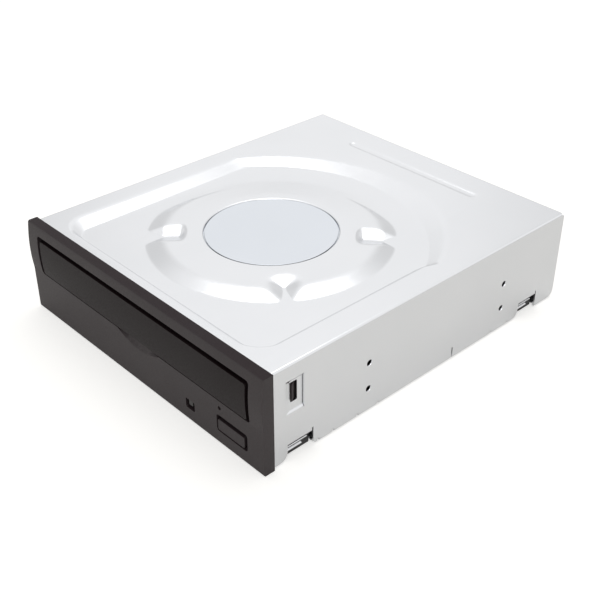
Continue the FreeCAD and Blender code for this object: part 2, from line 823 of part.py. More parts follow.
def bottom_cover():
    pan_x = WALL_IN - PAN_MARGIN_X
    pan_y0, pan_y1 = behind(PAN_FRONT), CASE_BACK - PAN_REAR_MARGIN
    cover = box(-WALL_IN, WALL_IN, behind(FRAME_FRONT), CASE_BACK, PAN_TOP, RIM_TOP)
    pan = between(
        rounded(-pan_x, pan_x, pan_y0, pan_y1, PAN_CORNER, RIM_TOP),
        rounded(
            PAN_SLOPE - pan_x, pan_x - PAN_SLOPE, pan_y0 + PAN_SLOPE, pan_y1 - PAN_SLOPE,
            PAN_CORNER - PAN_SLOPE, PAN_TOP,
        ),
    )
    cover = pressed(cover, pan, V(0, 0, -SHEET))
    flange_out = WALL_IN - FLANGE_INSET
    flange = box(flange_out - SHEET, flange_out, behind(FLANGE_Y[0]), behind(FLANGE_Y[1]), PAN_TOP, FLANGE_TOP)
    rear_half = WALL_IN - GAP
    rear = box(-rear_half, rear_half, CASE_BACK - SHEET, CASE_BACK, PAN_TOP, REAR_EDGE - GAP)
    extras = both_sides(flange) + [rear]
    holes = []
    for x in BOARD_SCREW_XS:
        for y in BOARD_SCREW_YS:
            extras.append(post(STANDOFF_R, x, y, FLOOR_GAP, BOARD_Z))
            holes.append(post(BOARD_SCREW_R + RUNNING_FIT, x, y, FLOOR_GAP - SHEET, BOARD_TOP))
    for x, y in pillar_spots():
        holes.append(post(CASE_SCREW_R + GAP, x, y, FLOOR_GAP, RIM_TOP + SHEET))
    for y in MOUNT_YS:
        well = post(MOUNT_COLLAR_R + GAP, MOUNT_BOTTOM_X, y, FLOOR_GAP, PAN_TOP + MOUNT_COLLAR + GAP)
        holes.extend(both_sides(well))
    socket = box(
        SATA_X[0] - GAP, SATA_X[1] + GAP, CASE_BACK - 2 * SHEET, CASE_BACK + SHEET,
        BOARD_Z - GAP, REAR_EDGE,
    )
    holes.append(socket)
    for start, end in (NOTCH_FRONT, NOTCH_REAR):
        gap = box(flange_out, WALL_IN + SHEET, behind(start), behind(end + SLIT), FLOOR_GAP, RIM_TOP + SHEET)
        holes.extend(both_sides(gap))
    return joined(cover, *extras).cut(holes)


def case_screws():
    head = PAN_TOP - FLOOR_GAP
    return group(
        screw(x, y, PAN_TOP, CASE_SCREW_R, CASE_SCREW_HEAD_R, CASE_SCREW_LENGTH, head, up=-1)
        for x, y in pillar_spots()
    )


# Front bezel, door, button and light window


def bezel_block():
    """The bezel's outer shape, closed and solid: a flat lower front, a bulged band and a leaning top."""
    x, flat, top, edge = -BEZEL_HALF, BEZEL_FLAT, BEZEL_HEIGHT, BEZEL_EDGE
    low, crest = BULGE_Z
    high = 2 * crest - low
    lean = 2 * BEZEL_BULGE / (crest - low) * (top - edge - high)
    side = outline(
        V(x, CASE_FRONT, 0),
        V(x, flat + edge, 0),
        V(x, flat, edge),
        V(x, flat, low),
        (V(x, flat - BEZEL_BULGE, crest), V(x, flat, high)),
        V(x, flat + lean, top - edge),
        V(x, flat + lean + edge, top),
        V(x, CASE_FRONT, top),
        V(x, CASE_FRONT, 0),
    )
    return prism(side, V(2 * BEZEL_HALF, 0, 0))


def rounded_block(x, z, width, height, radius, y0, y1):
    """A block along Y with round corners seen from the front."""
    x0, x1 = x - width / 2, x + width / 2
    z0, z1 = z - height / 2, z + height / 2
    flat = rounded_plate(x0, x1, z0, z1, radius, 0, y1 - y0)
    return flat.rotated(V(0, 0, 0), V(1, 0, 0), 90).translated(V(0, y1, 0))


def finger_lip():
    """The smile-shaped hollow under the door's lower edge."""

    def smile(y, half, drop):
        z = OPENING_Z[0]
        left = V(LIP_X - half, y, z)
        right = V(LIP_X + half, y, z)
        return outline(left, (V(LIP_X, y, z - drop), right), left)

    return between(
        smile(BEZEL_FLAT, LIP_HALF, LIP_DROP),
        smile(BEZEL_FLAT + LIP_DEPTH, LIP_HALF - LIP_DEPTH, LIP_DROP / 2),
    )


def bezel_hook():
    """The right-hand snap hook, with its barb in the case's snap window."""
    out = WALL_IN - SNAP_RECESS - GAP
    z0, z1 = SNAP_WINDOW_Z[0] + HOOK_CLEAR_Z, SNAP_WINDOW_Z[1] - HOOK_CLEAR_Z
    arm = box(out - HOOK_T, out, FACE_BACK, behind(HOOK_LENGTH), z0, z1)
    start, end = behind(SNAP_WINDOW_Y[0]) + GAP, behind(HOOK_LENGTH)
    barb = outline(
        V(out, start, z0), V(out + HOOK_BARB, start, z0), V(out, end, z0), V(out, start, z0),
    )
    return joined(arm, prism(barb, V(0, 0, z1 - z0)))


def front_bezel():
    inner_half = BEZEL_HALF - BEZEL_WALL
    hollow = box(-inner_half, inner_half, FACE_BACK, CASE_FRONT, BEZEL_WALL, BEZEL_HEIGHT - BEZEL_WALL)
    jamb = box(
        -OPENING_HALF - JAMB, OPENING_HALF + JAMB, FACE_BACK, CASE_FRONT,
        OPENING_Z[0] - JAMB, OPENING_Z[1] + JAMB,
    )
    front = CASE_FRONT - BEZEL_DEPTH
    opening = rounded_block(
        0, (OPENING_Z[0] + OPENING_Z[1]) / 2, 2 * OPENING_HALF, OPENING_Z[1] - OPENING_Z[0],
        OPENING_CORNER, front, CASE_FRONT,
    )
    button = rounded_block(BUTTON_X, BUTTON_Z, BUTTON_W, BUTTON_H, BUTTON_CORNER, front, CASE_FRONT)
    light = rounded_block(LED_X, LED_Z, LED_W, LED_H, LED_CORNER, front, CASE_FRONT)
    pin_hole = rod(
        EJECT_HOLE_R, V(EJECT_HOLE_X, front, EJECT_HOLE_Z), V(EJECT_HOLE_X, CASE_FRONT, EJECT_HOLE_Z),
    )
    shell = joined(bezel_block().cut(hollow), jamb, *both_sides(bezel_hook()))
    return shell.cut([opening, button, light, pin_hole, finger_lip()])


def tray_door():
    x = OPENING_HALF - DOOR_SIDE_GAP
    z0, z1 = OPENING_Z[0] + DOOR_LOW_GAP, OPENING_Z[1] - DOOR_TOP_GAP
    outer = rounded_block(0, (z0 + z1) / 2, 2 * x, z1 - z0, DOOR_CORNER, CASE_FRONT - BEZEL_DEPTH, DOOR_BACK)
    panel = bezel_block().common(outer)
    pegs = [
        rod(DOOR_PEG_R, V(side * DOOR_PEG_X, DOOR_BACK - DOOR_T / 2, (TRAY_BOTTOM + TRAY_RIM) / 2),
            V(side * DOOR_PEG_X, DOOR_BACK + DOOR_PEG, (TRAY_BOTTOM + TRAY_RIM) / 2))
        for side in (-1, 1)
    ]
    return joined(panel, *pegs)


def eject_button():
    """The button: its cap leaves a wide gap above it and to its right, its flange holds it behind the bezel."""
    face = BEZEL_FLAT + BUTTON_SUNK
    lip = FACE_BACK + GAP
    cap = rounded_block(
        BUTTON_X + (BUTTON_GAP - BUTTON_RIGHT_GAP) / 2, BUTTON_Z + (BUTTON_GAP - BUTTON_TOP_GAP) / 2,
        BUTTON_W - BUTTON_GAP - BUTTON_RIGHT_GAP, BUTTON_H - BUTTON_GAP - BUTTON_TOP_GAP,
        CAP_CORNER, face, lip + GAP,
    )
    flange = rounded_block(
        BUTTON_X, BUTTON_Z, BUTTON_W + 2 * BUTTON_LIP, BUTTON_H + 2 * BUTTON_LIP,
        BUTTON_CORNER, lip, lip + BUTTON_FLANGE,
    )
    stem = rod(PLUNGER_R + GAP, V(BUTTON_X, lip, PLUNGER_Z), V(BUTTON_X, behind(PLUNGER_START), PLUNGER_Z))
    return joined(cap, flange, stem)


def switch_plunger():
    return rod(
        PLUNGER_R, V(BUTTON_X, behind(PLUNGER_START), PLUNGER_Z), V(BUTTON_X, behind(PLUNGER_END), PLUNGER_Z),
    )


def led_lens():
    """The light window: a small lens at the top of its opening, on a flange behind the bezel."""
    pane_z = LED_Z + LED_H / 2 - RUNNING_FIT - LED_PANE_H / 2
    pane = rounded_block(
        LED_X, pane_z, LED_PANE_W, LED_PANE_H, LED_CORNER, BEZEL_FLAT + LED_SUNK, FACE_BACK + LED_FLANGE / 2,
    )
    flange = rounded_block(
        LED_X, LED_Z, LED_W + 2 * LED_FLANGE, LED_H + 2 * LED_FLANGE, LED_CORNER,
        FACE_BACK, FACE_BACK + LED_FLANGE,
    )
    return joined(pane, flange)


# Tray and loader


def involute(angle):
    return math.tan(angle) - angle


def polar(radius, angle, z):
    return V(radius * math.cos(angle), radius * math.sin(angle), z)


def gear(module, teeth, phase, at, z0, z1):
    """A spur gear whose first tooth points along phase; flanks are arcs through three involute points."""
    pitch_r = module * teeth / 2
    base_r = pitch_r * math.cos(PRESSURE)
    tip_r = pitch_r + ADDENDUM * module
    root_r = pitch_r - DEDENDUM * module
    pitch_half = (math.pi * module / 2 - BACKLASH) / (2 * pitch_r)

    def half_tooth(radius):
        return pitch_half + involute(PRESSURE) - involute(math.acos(base_r / radius))

    flank_r = base_r * FLANK_START
    middle_r = (flank_r + tip_r) / 2
    step = 2 * math.pi / teeth
    steps = []
    for tooth in range(teeth):
        centre = phase + tooth * step
        foot = half_tooth(flank_r)
        middle = half_tooth(middle_r)
        end = half_tooth(tip_r)
        next_foot = centre + step - foot
        steps.append((polar(middle_r, centre - middle, z0), polar(tip_r, centre - end, z0)))
        steps.append((polar(tip_r, centre, z0), polar(tip_r, centre + end, z0)))
        steps.append((polar(middle_r, centre + middle, z0), polar(flank_r, centre + foot, z0)))
        steps.append(polar(root_r, centre + foot, z0))
        steps.append((polar(root_r, centre + step / 2, z0), polar(root_r, next_foot, z0)))
        steps.append(polar(flank_r, next_foot, z0))
    start = polar(flank_r, phase - half_tooth(flank_r), z0)
    return prism(outline(start, *steps), V(0, 0, z1 - z0)).translated(at)


def rack():
    """The rack under the tray, with one tooth centred on the tray gear's axle."""
    pitch = math.pi * MODULE_RACK
    lean = math.tan(PRESSURE)
    tip = RACK_X + ADDENDUM * MODULE_RACK
    root = RACK_X - DEDENDUM * MODULE_RACK
    half = pitch / 4 - BACKLASH / 2
    tip_half = half - ADDENDUM * MODULE_RACK * lean
    root_half = half + DEDENDUM * MODULE_RACK * lean
    y0, y1 = behind(RACK_START), behind(TRAY_END)
    before = int((TRAY_GEAR_AT.y - y0 - root_half) / pitch)
    after = int((y1 - TRAY_GEAR_AT.y - root_half) / pitch)
    points = [V(root, y0, RACK_Z)]
    for tooth in range(-before, after + 1):
        y = TRAY_GEAR_AT.y + tooth * pitch
        points.append(V(root, y - root_half, RACK_Z))
        points.append(V(tip, y - tip_half, RACK_Z))
        points.append(V(tip, y + tip_half, RACK_Z))
        points.append(V(root, y + root_half, RACK_Z))
    points.append(V(root, y1, RACK_Z))
    points.append(V(root - RACK_BACK, y1, RACK_Z))
    points.append(V(root - RACK_BACK, y0, RACK_Z))
    points.append(points[0])
    return prism(Part.makePolygon(points), V(0, 0, (TRAY_BOTTOM + TRAY_FLOOR) / 2 - RACK_Z))


def disc_tray():
    front = DOOR_BACK
    block = box(-TRAY_HALF, TRAY_HALF, front, behind(TRAY_END), TRAY_BOTTOM, TRAY_RIM)
    pocket = post(POCKET_R, HUB_X, HUB_Y, TRAY_FLOOR, TRAY_RIM)
    small_pocket = post(SMALL_POCKET_R, HUB_X, HUB_Y, TRAY_FLOOR - SMALL_POCKET_DEPTH, TRAY_FLOOR)
    window = rounded_plate(
        HUB_X - WINDOW_HALF, HUB_X + WINDOW_HALF, HUB_Y - WINDOW_REACH, behind(WINDOW_END),
        WINDOW_HALF - GAP, TRAY_BOTTOM, TRAY_RIM,
    )
    pegs = [
        rod(DOOR_PEG_R + RUNNING_FIT, V(side * DOOR_PEG_X, front, (TRAY_BOTTOM + TRAY_RIM) / 2),
            V(side * DOOR_PEG_X, front + DOOR_PEG + GAP, (TRAY_BOTTOM + TRAY_RIM) / 2))
        for side in (-1, 1)
    ]
    return joined(block.cut([pocket, small_pocket, window] + pegs), rack())


def tray_gear():
    at = TRAY_GEAR_AT
    pinion = gear(MODULE_RACK, PINION_TEETH, math.pi + math.pi / PINION_TEETH, at, WHEEL_Z[1], PINION_TOP)
    wheel = gear(MODULE_GEAR, WHEEL_TEETH, TRAIN_ANGLE, at, WHEEL_Z[0], WHEEL_Z[1])
    hub = post(HUB_R, at.x, at.y, BASE_TOP + GAP, WHEEL_Z[0])
    bore = post(AXLE_R + RUNNING_FIT, at.x, at.y, BASE_TOP, PINION_TOP)
    return joined(pinion, wheel, hub).cut(bore)


def pulley(at, radius, z):
    """A belt pulley: a groove between two flanges."""
    flange_t = (PULLEY_T - BELT - 2 * BELT_CLEAR) / 2
    flange_r = radius + PULLEY_FLANGE
    low = post(flange_r, at.x, at.y, z, z + flange_t)
    middle = post(radius, at.x, at.y, z, z + PULLEY_T)
    high = post(flange_r, at.x, at.y, z + PULLEY_T - flange_t, z + PULLEY_T)
    return joined(low, middle, high)


def pulley_gear():
    at = PULLEY_AT
    phase = TRAIN_ANGLE + math.pi + math.pi / SMALL_TEETH
    small = gear(MODULE_GEAR, SMALL_TEETH, phase, at, PULLEY_Z + PULLEY_T, WHEEL_Z[1])
    bore = post(AXLE_R + RUNNING_FIT, at.x, at.y, BASE_TOP, WHEEL_Z[1])
    return joined(pulley(at, PULLEY_R, PULLEY_Z), small).cut(bore)


def motor_pulley():
    at = MOTOR_AT
    shaft = post(MOTOR_SHAFT_R, at.x, at.y, BASE_BOTTOM - MOTOR_SHAFT_IN, PULLEY_Z + PULLEY_T)
    return joined(pulley(at, MOTOR_PULLEY_R, PULLEY_Z), shaft)


def belt_loop(extra, z):
    """The belt's outline: two arcs and the straight runs that touch both."""
    big = PULLEY_R + BELT_CLEAR + extra
    small = MOTOR_PULLEY_R + BELT_CLEAR + extra
    lean = math.acos((big - small) / BELT_SPAN)
    lift = V(0, 0, z)

    def touch(centre, radius, angle):
        return centre + polar(radius, angle, 0) + lift

    return outline(
        touch(PULLEY_AT, big, lean),
        (touch(PULLEY_AT, big, math.pi), touch(PULLEY_AT, big, -lean)),
        touch(MOTOR_AT, small, -lean),
        (touch(MOTOR_AT, small, 0), touch(MOTOR_AT, small, lean)),
        touch(PULLEY_AT, big, lean),
    )


def drive_belt():
    z = PULLEY_Z + (PULLEY_T - BELT) / 2
    up = V(0, 0, BELT)
    return prism(belt_loop(BELT, z), up).cut(prism(belt_loop(0, z), up))


def motor_screw_spots():
    spots = []
    for angle in MOTOR_SCREW_ANGLES:
        spots.append(MOTOR_AT + polar(MOTOR_SCREW_RING, math.radians(angle), 0))
    return spots


def loading_motor():
    at = MOTOR_AT
    can = post(MOTOR_R, at.x, at.y, MOTOR_BOTTOM, BASE_BOTTOM)
    holes = [post(MOTOR_SHAFT_R + RUNNING_FIT, at.x, at.y, BASE_BOTTOM - MOTOR_SHAFT_IN - GAP, BASE_BOTTOM)]
    hole_r = MOTOR_SCREW_R + RUNNING_FIT
    for spot in motor_screw_spots():
        holes.append(post(hole_r, spot.x, spot.y, BASE_BOTTOM - BASE_T - GAP, BASE_BOTTOM))
    return can.cut(holes)


def frame_screws():
    """The screws that hold the loading motor and the clamper bridge."""
    screws = []
    for spot in motor_screw_spots():
        screws.append(
            screw(spot.x, spot.y, BASE_TOP, MOTOR_SCREW_R, MOTOR_SCREW_HEAD_R, 2 * BASE_T, MOTOR_SCREW_HEAD)
        )
    seat = BRIDGE_Z + BRIDGE_T
    for x, y in bridge_screw_spots():
        screws.append(
            screw(x, y, seat, BRIDGE_SCREW_R, BRIDGE_SCREW_HEAD_R, BRIDGE_SCREW_LENGTH, BRIDGE_SCREW_HEAD)
        )
    return group(screws)


def slot_between(start, end, radius, y0, y1):
    """A straight slot with round ends, cut along Y through points in the X and Z directions."""
    along = (end - start).normalize()
    side = V(-along.z, 0, along.x) * radius
    lift = V(0, y0, 0)
    flat = outline(
        start + side + lift,
        end + side + lift,
        (end + along * radius + lift, end - side + lift),
        start - side + lift,
        (start - along * radius + lift, start + side + lift),
    )
    return prism(flat, V(0, y1 - y0, 0))


def cam_slider():
    """The slider whose two sloping slots raise the lift frame's pins as it moves to the right."""
    pin_y = CAM_Y + CAM_T / 2
    low = lowered_height(pin_y, CAM_PIN_Z)
    bar = box(CAM_X[0], CAM_X[1], CAM_Y, CAM_Y + CAM_T, CAM_Z[0], CAM_Z[1])
    radius = CAM_PIN_R + CAM_CLEAR
    cuts = []
    for x in CAM_PIN_XS:
        cuts.append(
            slot_between(V(x, 0, low), V(x - CAM_TRAVEL, 0, CAM_PIN_Z), radius, CAM_Y, CAM_Y + CAM_T)
        )
    for x in STUD_XS:
        cuts.append(
            slot_between(V(x, 0, STUD_Z), V(x - CAM_TRAVEL, 0, STUD_Z), STUD_R + GAP, CAM_Y, CAM_Y + CAM_T)
        )
    return bar.cut(cuts)


def main_frame():
    y0, y1 = behind(FRAME_FRONT), behind(FRAME_END)
    base = box(-FRAME_OUT, FRAME_OUT, y0, behind(BASE_END), BASE_BOTTOM, BASE_TOP)
    pieces = []
    holes = []
    rail_top = TRAY_BOTTOM - GAP
    hold_down = TRAY_RIM + GAP
    pieces += both_sides(box(FRAME_IN, FRAME_OUT, y0, y1, WALL_FOOT, BRIDGE_Z))
    side_floor = box(SIDE_FLOOR_IN, FRAME_OUT, y0, y1, BASE_BOTTOM, BASE_TOP)
    slider_reach = CAM_X[1] + CAM_TRAVEL + GAP
    slider_end = CAM_Y + CAM_T + GAP
    slider_way = box(-slider_reach, slider_reach, behind(BASE_END), slider_end, BASE_BOTTOM, BASE_TOP)
    pieces += both_sides(side_floor.cut(slider_way))
    pieces += both_sides(box(FRAME_IN - RAIL_REACH, FRAME_IN, y0, y1, rail_top - RAIL_Z, rail_top))
    pieces += both_sides(
        box(FRAME_IN - RAIL_REACH, FRAME_IN, y0, behind(UPPER_RAIL_END), hold_down, hold_down + UPPER_RAIL_T)
    )
    pieces.append(box(-FRAME_OUT, FRAME_OUT, y1 - REAR_BAR, y1, BASE_BOTTOM, REAR_BAR_TOP))
    guide_half = SIDE_FLOOR_IN + PILLAR_INSET
    guide_y = behind(GUIDE_WALL_Y)
    guide_end = behind(BASE_END)
    pieces.append(box(-guide_half, guide_half, guide_y, guide_end, LEDGE_Z[0], GUIDE_WALL_TOP))
    pieces.append(box(-guide_half, guide_half, guide_y, guide_end + LEDGE_REACH, LEDGE_Z[0], LEDGE_Z[1]))
    for x in STUD_XS:
        pieces.append(rod(STUD_R, V(x, guide_y, STUD_Z), V(x, slider_end, STUD_Z)))
    boss_x = LIFT_HALF + PIVOT_SIDE
    boss = box(
        boss_x, boss_x + PIVOT_BOSS, PIVOT_Y - PIVOT_BOSS, PIVOT_Y + PIVOT_BOSS,
        BASE_BOTTOM, PIVOT_Z + PIVOT_BOSS,
    )
    pivot_bore = rod(
        PIVOT_R + RUNNING_FIT, V(boss_x, PIVOT_Y, PIVOT_Z), V(boss_x + PIVOT_BOSS, PIVOT_Y, PIVOT_Z),
    )
    pieces += both_sides(boss)
    holes += both_sides(pivot_bore)
    for x, y in pillar_spots():
        pieces.append(post(PILLAR_R, x, y, RIM_TOP, BASE_BOTTOM + BASE_T / 2))
        holes.append(post(CASE_SCREW_R + RUNNING_FIT, x, y, RIM_TOP, PAN_TOP + CASE_SCREW_LENGTH + GAP))
    foot = FRONT_BOARD_Z[1]
    for x, y in FRONT_POSTS:
        pieces.append(post(FRONT_POST_R, x, behind(y), foot, BASE_BOTTOM + BASE_T / 2))
        holes.append(post(BOARD_SCREW_R + RUNNING_FIT, x, behind(y), foot, foot + BOARD_SCREW_LENGTH))
    pieces.append(post(AXLE_R, TRAY_GEAR_AT.x, TRAY_GEAR_AT.y, BASE_BOTTOM, PINION_TOP))
    pieces.append(post(AXLE_R, PULLEY_AT.x, PULLEY_AT.y, BASE_BOTTOM, WHEEL_Z[1]))
    pieces.append(post(HUB_R, PULLEY_AT.x, PULLEY_AT.y, BASE_BOTTOM, PULLEY_Z - GAP))
    holes.append(post(MOTOR_PULLEY_R, MOTOR_AT.x, MOTOR_AT.y, BASE_BOTTOM, BASE_TOP))
    for spot in motor_screw_spots():
        holes.append(post(MOTOR_SCREW_R + RUNNING_FIT, spot.x, spot.y, BASE_BOTTOM, BASE_TOP))
    for x, y in bridge_screw_spots():
        holes.append(post(BRIDGE_SCREW_R + RUNNING_FIT, x, y, BRIDGE_Z - BRIDGE_SCREW_LENGTH, BRIDGE_Z))
    return joined(base, *pieces).cut(holes)


# Lift frame, traverse plate and dampers


def damper_spots():
    return [(side * DAMPER_X, y) for side in (-1, 1) for y in DAMPER_YS]


def lift_frame():
    y0, y1 = behind(LIFT_FRONT), behind(LIFT_END)
    body = box(-LIFT_HALF, LIFT_HALF, y0, y1, LIFT_Z[0], LIFT_Z[1])
    hole = rounded_plate(
        -LIFT_HOLE_HALF, LIFT_HOLE_HALF, behind(LIFT_HOLE_Y[0]), behind(LIFT_HOLE_Y[1]),
        LIFT_CORNER, LIFT_Z[0], LIFT_Z[1],
    )
    pins = [rod(CAM_PIN_R, V(x, CAM_Y, CAM_PIN_Z), V(x, y0, CAM_PIN_Z)) for x in CAM_PIN_XS]
    pivot = rod(PIVOT_R, V(LIFT_HALF, PIVOT_Y, PIVOT_Z), V(LIFT_HALF + PIVOT_PIN, PIVOT_Y, PIVOT_Z))
    bores = [post(DAMPER_SCREW_R + RUNNING_FIT, x, y, LIFT_Z[0], LIFT_Z[1]) for x, y in damper_spots()]
    return lowered(joined(body.cut([hole] + bores), *pins, *both_sides(pivot)))


def damper_levels():
    """Foot of the lower lip, plate underside, plate top and top of the upper lip."""
    return LIFT_Z[1], PLATE_Z, PLATE_Z + PLATE_T, PLATE_Z + PLATE_T + DAMPER_LIP


def traverse_plate():
    y0, y1 = behind(PLATE_Y[0]), behind(PLATE_Y[1])
    top = PLATE_Z + PLATE_T
    plate = rounded_plate(-PLATE_HALF, PLATE_HALF, y0, y1, PLATE_CORNER, PLATE_Z, top)
    hole = box(
        -PLATE_HOLE_HALF, PLATE_HOLE_HALF, behind(PLATE_HOLE_Y[0]), behind(PLATE_HOLE_Y[1]), PLATE_Z, top,
    )
    motor_half = SLED_MOTOR_R + GAP
    motor_hole = box(
        SCREW_X - motor_half, SCREW_X + motor_half, behind(SCREW_Y[1]) - GAP, behind(PLATE_HOLE_Y[1]) + GAP,
        PLATE_Z, top,
    )
    cuts = [hole, motor_hole, post(SPINDLE_HOLE_R, HUB_X, HUB_Y, PLATE_Z, top)]
    for x, y in damper_spots():
        cuts.append(post(DAMPER_NECK_R + RUNNING_FIT, x, y, PLATE_Z, top))
    for x, y in spindle_screw_spots():
        cuts.append(post(SPINDLE_SCREW_R + RUNNING_FIT, x, y, PLATE_Z, top))
    return lowered(plate.cut(cuts))


def rubber_dampers():
    foot, low, high, top = damper_levels()
    dampers = []
    for x, y in damper_spots():
        body = joined(
            post(DAMPER_R, x, y, foot, low),
            post(DAMPER_NECK_R, x, y, low, high),
            post(DAMPER_R, x, y, high, top),
        )
        dampers.append(lowered(body.cut(post(DAMPER_BORE_R, x, y, foot, top))))
    return group(dampers)


def traverse_screws():
    """The screws through the dampers, and those that hold the spindle base under the plate."""
    top = damper_levels()[3]
    screws = []
    for x, y in damper_spots():
        screws.append(
            screw(x, y, top, DAMPER_SCREW_R, DAMPER_SCREW_HEAD_R, top - LIFT_Z[0], DAMPER_SCREW_HEAD)
        )
    seat = PLATE_Z - SPINDLE_BASE_T
    length = SPINDLE_BASE_T + PLATE_T
    for x, y in spindle_screw_spots():
        screws.append(
            screw(x, y, seat, SPINDLE_SCREW_R, SPINDLE_SCREW_HEAD_R, length, SPINDLE_SCREW_HEAD, up=-1)
        )
    return lowered(group(screws))


# Spindle motor and turntable


def spindle_screw_spots():
    spots = []
    for angle in SPINDLE_SCREW_ANGLES:
        spot = polar(SPINDLE_SCREW_RING, math.radians(angle), 0)
        spots.append((HUB_X + spot.x, HUB_Y + spot.y))
    return spots


def spindle_base():
    low = PLATE_Z - SPINDLE_BASE_T
    disc = post(SPINDLE_BASE_R, HUB_X, HUB_Y, low, PLATE_Z)
    behind_cut = box(
        HUB_X - SPINDLE_BASE_R, HUB_X + SPINDLE_BASE_R, behind(SPINDLE_BASE_END), HUB_Y + SPINDLE_BASE_R,
        low, PLATE_Z,
    )
    bearing = post(BEARING_R, HUB_X, HUB_Y, low, BEARING_TOP)
    holes = [behind_cut, post(SHAFT_R + RUNNING_FIT, HUB_X, HUB_Y, PLATE_Z - SPINDLE_BASE_T / 2, BEARING_TOP)]
    for x, y in spindle_screw_spots():
        holes.append(post(SPINDLE_SCREW_R + RUNNING_FIT, x, y, low, PLATE_Z))
    return lowered(joined(disc, bearing).cut(holes))


def spindle_stator():
    """The iron core round the bearing tube, with one arm and shoe for each pole."""
    z0, z1 = STATOR_Z
    core_r = STATOR_R / 2
    hub = post(core_r, HUB_X, HUB_Y, z0, z1)
    shoe_r = STATOR_R - STATOR_SHOE
    shoes = ring(STATOR_R, shoe_r, HUB_X, HUB_Y, z0, z1)
    centre = V(HUB_X, HUB_Y, 0)
    step = 360 / STATOR_POLES
    arm = box(core_r / 2, (shoe_r + STATOR_R) / 2, -STATOR_ARM / 2, STATOR_ARM / 2, z0, z1).translated(centre)
    gap = box(shoe_r - GAP, STATOR_R + GAP, -STATOR_GAP / 2, STATOR_GAP / 2, z0, z1).translated(centre)
    arms = []
    gaps = []
    for pole in range(STATOR_POLES):
        arms.append(arm.rotated(centre, V(0, 0, 1), pole * step))
        gaps.append(gap.rotated(centre, V(0, 0, 1), (pole + 0.5) * step))
    bore = post(BEARING_R + RUNNING_FIT, HUB_X, HUB_Y, z0, z1)
    return lowered(joined(hub, shoes, *arms).cut(gaps + [bore]))


def spindle_rotor():
    z0, z1 = ROTOR_Z
    inside = ROTOR_R - ROTOR_WALL
    cup = post(ROTOR_R, HUB_X, HUB_Y, z0, z1).cut(post(inside, HUB_X, HUB_Y, z0, z1 - ROTOR_WALL))
    shaft = post(SHAFT_R, HUB_X, HUB_Y, PLATE_Z - SPINDLE_BASE_T / 2 + GAP, z1)
    return lowered(joined(cup, shaft))


def rotor_magnet():
    outer = ROTOR_R - ROTOR_WALL
    return lowered(ring(outer, outer - MAGNET_T, HUB_X, HUB_Y, ROTOR_Z[0], ROTOR_Z[1] - ROTOR_WALL))


def turntable():
    return lowered(post(TURNTABLE_R, HUB_X, HUB_Y, ROTOR_Z[1], TURNTABLE_TOP))


def turntable_pad():
    return lowered(ring(TURNTABLE_R, PAD_R, HUB_X, HUB_Y, TURNTABLE_TOP, TURNTABLE_TOP + PAD_T))


def centring_cone():
    return lowered(Part.makeCone(CONE_R, CONE_TOP_R, CONE_H, V(HUB_X, HUB_Y, TURNTABLE_TOP)))


# Pickup and its drive


def pickup_body():
    body = box(-PICKUP_HALF, PICKUP_HALF, PICKUP_Y0, PICKUP_Y1, PICKUP_Z[0], PICKUP_Z[1])
    nose = post(TURNTABLE_R + TURNTABLE_CLEAR, HUB_X, HUB_Y, PICKUP_Z[0], PICKUP_Z[1])
    rod_bore = rod(ROD_R + RUNNING_FIT, V(-ROD_X, PICKUP_Y0, ROD_Z), V(-ROD_X, PICKUP_Y1, ROD_Z))
    fit = ROD_R + RUNNING_FIT
    rod_slot = box(ROD_X - fit, PICKUP_HALF, PICKUP_Y0, PICKUP_Y1, ROD_Z - fit, ROD_Z + fit)
    return lowered(body.cut([nose, rod_bore, rod_slot]))


def actuator_cover():
    low, high = PICKUP_Z[1], PICKUP_Z[1] + ACTUATOR_T
    cover = rounded_plate(
        HUB_X - ACTUATOR_HALF_X, HUB_X + ACTUATOR_HALF_X, LENS_Y - ACTUATOR_HALF_Y, LENS_Y + ACTUATOR_HALF_Y,
        ACTUATOR_CORNER, low, high,
    )
    x, y = HOLDER_HALF_X + HOLDER_CLEAR, HOLDER_HALF_Y + HOLDER_CLEAR
    return lowered(cover.cut(box(HUB_X - x, HUB_X + x, LENS_Y - y, LENS_Y + y, low, high)))


def holder_levels():
    low = PICKUP_Z[1] + HOLDER_LIFT
    return low, low + HOLDER_H


def lens_holder():
    low, high = holder_levels()
    block = box(
        HUB_X - HOLDER_HALF_X, HUB_X + HOLDER_HALF_X, LENS_Y - HOLDER_HALF_Y, LENS_Y + HOLDER_HALF_Y,
        low, high,
    )
    return lowered(block.cut(post(LENS_R, HUB_X, LENS_Y, high - LENS_SEAT, high)))


def objective_lens():
    high = holder_levels()[1]
    body = post(LENS_R - RUNNING_FIT, HUB_X, LENS_Y, high - LENS_SEAT, high)
    dome = Part.makeCone(LENS_R - RUNNING_FIT, LENS_R / 2, LENS_H, V(HUB_X, LENS_Y, high))
    return lowered(joined(body, dome))


def guide_rod(x):
    return lowered(rod(ROD_R, V(x, behind(ROD_Y[0]), ROD_Z), V(x, behind(ROD_Y[1]), ROD_Z)))


def rod_clips():
    """Blocks under the traverse plate that hold the guide rods' ends."""
    clips = []
    for x in (-ROD_X, ROD_X):
        for y0 in (behind(ROD_Y[0]), behind(ROD_Y[1]) - CLIP_T):
            block = box(x - CLIP_HALF, x + CLIP_HALF, y0, y0 + CLIP_T, ROD_Z - CLIP_HALF, PLATE_Z)
            bore = rod(ROD_R + RUNNING_FIT, V(x, y0, ROD_Z), V(x, y0 + CLIP_T, ROD_Z))
            clips.append(lowered(block.cut(bore)))
    return group(clips)


